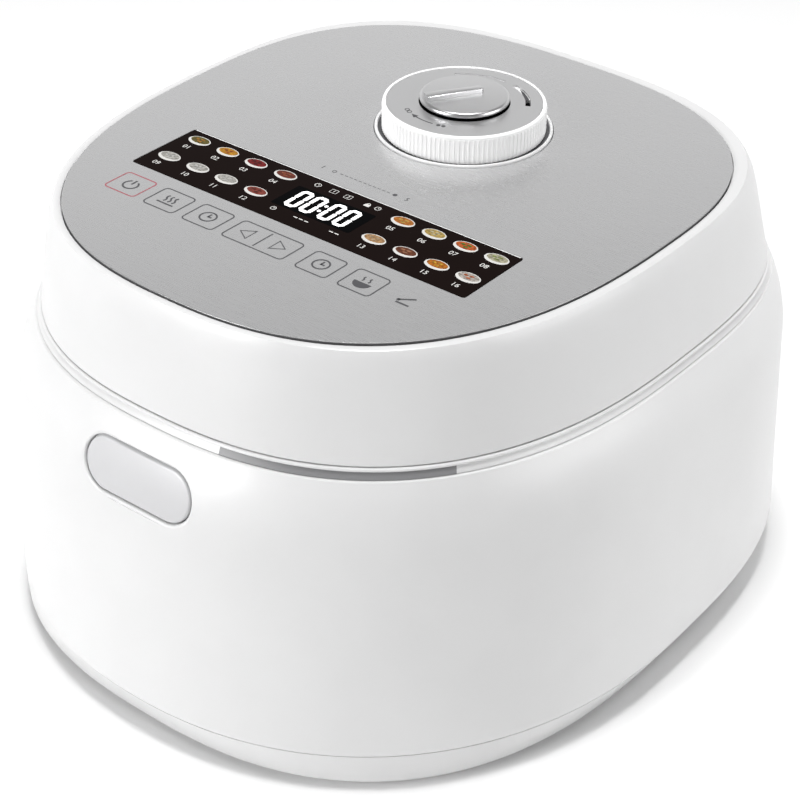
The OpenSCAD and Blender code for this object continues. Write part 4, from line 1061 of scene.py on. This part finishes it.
CORE_R = CAP_R - RIB_OUT
DECK_TOP = FACE_TOP - 0.8
DECK_LOW = DECK_TOP - 2.4
COLLAR_OUT, COLLAR_IN = 24.5, 22.7
BORE_R = SPINDLE_R + 0.05
ring_profile = [(BORE_R, DECK_TOP), (CAP_IN, DECK_TOP), (CAP_IN, RING_TOP - 0.25),
                (CAP_IN + 0.2, RING_TOP), (CORE_R - 0.75, RING_TOP),
                (CORE_R - 0.3, RING_TOP - 0.15), (CORE_R - 0.06, RING_TOP - 0.5),
                (CORE_R, RING_TOP - 0.9), (CORE_R, SKIRT_LOW + 0.4), (CORE_R - 0.4, SKIRT_LOW),
                (CAP_IN, SKIRT_LOW), (CAP_IN, RING_LOW), (CAP_IN, DECK_LOW),
                (COLLAR_OUT, DECK_LOW), (COLLAR_OUT, RING_LOW - 12), (COLLAR_IN, RING_LOW - 12),
                (COLLAR_IN, DECK_LOW), (HUB_R, DECK_LOW), (HUB_R, RING_LOW - 14),
                (BORE_R, RING_LOW - 14)]


def slot_loop(start, end, width):
    return stroke(arc(SLOT_R, start, end, CAP, 28), width)


slot_cutter = plate("slot", [slot_loop(SLOT_FROM, SLOT_TO, SLOT_W)], DECK_TOP - 5, DECK_TOP + 1)
ring_mesh = cut_away(turned("whole_ring", ring_profile, CAP, 256), slot_cutter)
ring = put("grip_ring", ring_mesh, cap_white, "steam_ring")


def rod_circle_tree():
    tree = bpy.data.node_groups.new("rods on a circle", "GeometryNodeTree")
    sockets = {}
    for title, kind in (("Count", "Int"), ("Radius", "Float"), ("Rod radius", "Float"),
                        ("Rod height", "Float"), ("Centre", "Vector"), ("Finish", "Material")):
        made = tree.interface.new_socket(title, in_out="INPUT", socket_type="NodeSocket" + kind)
        sockets[title] = made.identifier
    tree.interface.new_socket("Geometry", in_out="OUTPUT", socket_type="NodeSocketGeometry")
    given, result = (tree.nodes.new("NodeGroup" + side) for side in ("Input", "Output"))
    loop, rod, spread, move, real, finish = (tree.nodes.new("GeometryNode" + kind) for kind in (
        "MeshCircle", "MeshCylinder", "InstanceOnPoints", "Transform", "RealizeInstances",
        "SetMaterial"))
    rod.inputs["Vertices"].default_value = 12
    for start, out, end, into in (
            (given, "Count", loop, "Vertices"), (given, "Radius", loop, "Radius"),
            (given, "Rod radius", rod, "Radius"), (given, "Rod height", rod, "Depth"),
            (loop, "Mesh", spread, "Points"), (rod, "Mesh", spread, "Instance"),
            (spread, "Instances", move, "Geometry"), (given, "Centre", move, "Translation"),
            (move, "Geometry", real, "Geometry"), (real, "Geometry", finish, "Geometry"),
            (given, "Finish", finish, "Material"), (finish, "Geometry", result, "Geometry")):
        tree.links.new(start.outputs[out], end.inputs[into])
    return tree, sockets


rod_tree, rod_sockets = rod_circle_tree()


def rods(name, slot, paint, **values):
    holder = placed(name, bpy.data.meshes.new(name))
    grow = holder.modifiers.new("rods", "NODES")
    grow.node_group = rod_tree
    values["Finish"] = paint
    for title, value in values.items():
        grow[rod_sockets[title.replace("_", " ")]] = value
    mesh = baked(holder)
    bpy.data.objects.remove(holder)
    return put(name, mesh, paint, slot)


rib_low, rib_high = SKIRT_LOW + 0.3, RING_TOP - 1.5
ribs = rods("grip_ribs", "steam_ring", cap_white, Count=RIB_COUNT,
            Radius=(CAP_R - RIB_R) * MM, Rod_radius=RIB_R * MM,
            Rod_height=(rib_high - rib_low) * MM,
            Centre=(CAP[0] * MM, CAP[1] * MM, (rib_low + rib_high) / 2 * MM))
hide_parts("steam_ring")
print("ribs:", RIB_COUNT, "faces:", len(ribs.data.polygons))

# %% [markdown]
# The disc floats a little above the face, and a black ring printed on the face under it is a
# painted shadow, the dark line under its bright rounded edge. The finger bar is a chamfered
# block whose wide end reaches the disc's edge.

# %% Silver face, turning disc and its marks
clean_copy("ring_face", face_silver, SHEET_ANGLE)
DISC_ROUND = 1.3
disc_low, disc_high = (corner.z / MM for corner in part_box("turn_disc"))
BAR_H = 2.2
DISC_TOP = disc_high - BAR_H
EDGE_LOW = FACE_TOP + 0.8
disc_profile = [(0.01, DISC_TOP), (DISC_R - DISC_ROUND, DISC_TOP)]
disc_profile += [(DISC_R - DISC_ROUND + DISC_ROUND * math.sin(a),
                  DISC_TOP - DISC_ROUND + DISC_ROUND * math.cos(a))
                 for a in np.linspace(0.15, math.pi - 0.4, 12)]
CLIP_Z = RING_LOW - 14.3
disc_profile += [(DISC_R - 2.2, EDGE_LOW), (DISC_R - 3.0, EDGE_LOW - 0.2),
                 (DISC_R - 3.0, FACE_TOP), (SPINDLE_R, FACE_TOP), (SPINDLE_R, CLIP_Z),
                 (HUB_R - 1, CLIP_Z), (HUB_R - 1, disc_low), (0.01, disc_low)]
BAR_TURN, BAR_CHAMFER, DISC_ANGLE = math.radians(58), 0.45, 40


def bar_outline():
    half_wide, half_tip, start, end = 2.7, 1.9, -DISC_R + 1.6, 8.2
    nose = [(end + half_tip * math.cos(a) - half_tip, half_tip * math.sin(a))
            for a in np.linspace(-math.pi / 2, math.pi / 2, 9)]
    shape = np.array([(start, -half_wide)] + nose + [(start, half_wide)])
    across, along = math.cos(BAR_TURN), math.sin(BAR_TURN)
    return shape @ np.array([[across, along], [-along, across]]) + np.array(CAP)


disc_mesh = joined("disc", [turned("disc", disc_profile, CAP),
                            plate("bar", [bar_outline()], DISC_TOP - 0.6, disc_high,
                                  BAR_CHAMFER)])
stand_in("disc", disc_mesh, disc_silver, "turn_disc", DISC_ANGLE)
# A black ring under the disc's edge is a painted shadow.
prints("disc_painted_shadow", [[circle(DISC_R + 0.2, CAP), circle(DISC_R - 2.6, CAP)]], FACE_TOP,
       pane_and_shade_black, slot="ring_face")
# A black sheet inside the steam slot is painted shade.
prints("slot_painted_shade", [slot_loop(SLOT_FROM + 1, SLOT_TO - 1, SLOT_W - 0.1)], DECK_TOP - 1.2,
       pane_and_shade_black, slot="steam_ring")
wedge = np.vstack([arc(SLOT_R + 0.9, SLOT_TO - 1, SLOT_TO + 22, CAP, 16),
                   arc(SLOT_R - 0.9, SLOT_TO - 1, SLOT_TO - 0.5, CAP, 3)[::-1]])
prints("slot_shade", [wedge], DECK_TOP, print_and_shade_ink, slot="steam_ring")
MARK_R = 25.4


def on_face(turn, radius=MARK_R):
    return tuple(arc(radius, turn, turn, CAP, 1)[0])


arrow = [stroke(arc(MARK_R, -106, -84, CAP, 30), 0.5),
         np.array([on_face(-112), on_face(-105, MARK_R + 1.3), on_face(-105, MARK_R - 1.3)])]
ends = [hollow(circle(1.1, on_face(turn), 20), 0.35) for turn in (-117, -122)]
shut = [circle(0.9, on_face(turn), 20) for turn in (-78, -73)]
prints("cap_marks", arrow + ends + shut, FACE_TOP, print_and_shade_ink, slot="ring_face")
print("disc top:", round(DISC_TOP, 2))

# %% [markdown]
# ## Everything else
# The remaining nodes have the right shapes already. Those that can be seen, with the lid open,
# from behind or through a grille, get a clean copy so that curves look round. Sealed ones only
# get their finish.

# %% Finishes for the carried nodes
shown = {
    "feet": rubber_grey, "base_screws": steel, "inner_pot": pot_coating,
    "pot_liner": bowl_plastic, "thermal_sensor": ground_steel, "hinge_bracket": gloss_white,
    "hinge_pin": ground_steel, "hinge_spring": spring_steel, "inlet_housing": black_plastic,
    "inlet_pins": brass, "button_guide": satin_white, "latch_lever": pale_button,
    "latch_pin": ground_steel, "lid_liner": inner_white, "lid_screws": steel, "striker": steel,
    "inner_lid": lid_alu, "lid_gasket": silicone, "float_valve": ground_steel,
    "valve_seat": ground_steel, "valve_housing": satin_white, "fan_frame": black_plastic,
    "fan_rotor": black_plastic, "button_springs": spring_steel, "sensor_spring": spring_steel,
    "valve_ball": ground_steel, "lid_sensor": steel, "coil_tray": black_plastic,
    "ferrite_bars": ferrite, "induction_coil": copper,
}
for node, paint in shown.items():
    clean_copy(node, paint, DECK_ANGLE if node in ("lid_liner", "inner_lid") else ROUND_ANGLE)
sealed = {
    "keep_warm_belt": foil, "power_board": board_green, "board_parts": black_plastic,
    "heat_sink": cast_alu, "lid_frame": frame_grey, "lcd_module": black_plastic,
    "control_board": board_green, "touch_springs": brass, "solenoid": copper,
    "plunger": ground_steel,
}
for node, paint in sealed.items():
    nodes[node].data.materials.clear()
    nodes[node].data.materials.append(paint)
print("copies:", len(shown), "finished in place:", len(sealed))

# %% [markdown]
# The two springs behind the button and the one under the temperature sensor shorten when they
# are pressed. A coil keeps its turns and loses height evenly, so a squash along its axis is
# what the wire does. Here each spring copy only gets a mesh of its own.

# %% Springs get meshes of their own
def shortens(node):
    spring = bpy.data.objects[node + "_skin"]
    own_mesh(spring)


shortens("button_springs")
shortens("sensor_spring")

# %% [markdown]
# ## Floor and light
# A pale floor and three soft boxes, one above, one at the left front and a larger one at the
# right, keep the white object bright. White on white needs shape as well, so the surround is
# dark on the side that the front corner faces and overhead, as a black flag makes it.

# %% Stage and lights
FLOOR_HALF = 6.0
floor_mesh = bpy.data.meshes.new("floor")
corners = [(FLOOR_HALF * x, FLOOR_HALF * y, 0) for x, y in ((-1, -1), (1, -1), (1, 1), (-1, 1))]
floor_mesh.from_pydata(corners, [], [(0, 1, 2, 3)])
floor_mesh.materials.append(Coat("pale floor", (0.93, 0.93, 0.93), 0.6).material)
floor = placed("floor", floor_mesh)

scene = bpy.context.scene
scene.view_settings.view_transform = "Standard"


def surround(behind, camera_side, zenith):
    sky = bpy.data.worlds.new("pale surround")
    sky.use_nodes = True
    sheet = Sheet(sky.node_tree)
    where = sheet.node("ShaderNodeTexCoord", "Generated")
    facing = sheet.node("ShaderNodeVectorMath", "Value", {"operation": "DOT_PRODUCT"}, i0=where,
                        i1=(-math.sin(VIEW_TURN), math.cos(VIEW_TURN), 0))
    height = sheet.node("ShaderNodeSeparateXYZ", "Z", None, Vector=where)
    glow = sky.node_tree.nodes["Background"].inputs
    sheet.feed(glow["Color"], (1, 1, 1, 1))
    sheet.feed(glow["Strength"], sheet.ramp(facing, 0.0, 0.8, camera_side, behind)
               * sheet.ramp(height, 0.40, 0.64, 1.0, zenith))
    return sky


scene.world = surround(behind=0.97, camera_side=0.0, zenith=0.05)


def soft_box(name, place, power, width, depth):
    light = bpy.data.lights.new(name, "AREA")
    light.shape = "RECTANGLE"
    light.size, light.size_y = width, depth
    light.energy = power
    lamp = placed(name, light)
    lamp.location = place
    aim = Vector((0, 0, 0.1)) - lamp.location
    lamp.rotation_euler = aim.to_track_quat("-Z", "Y").to_euler()


soft_box("top box", (0.0, 0.0, 2.0), 36, 0.6, 0.6)
soft_box("left box", (-0.62, -1.69, 0.6), 27, 0.8, 0.9)
soft_box("right box", (1.95, 0.65, 0.8), 25, 1.6, 1.4)
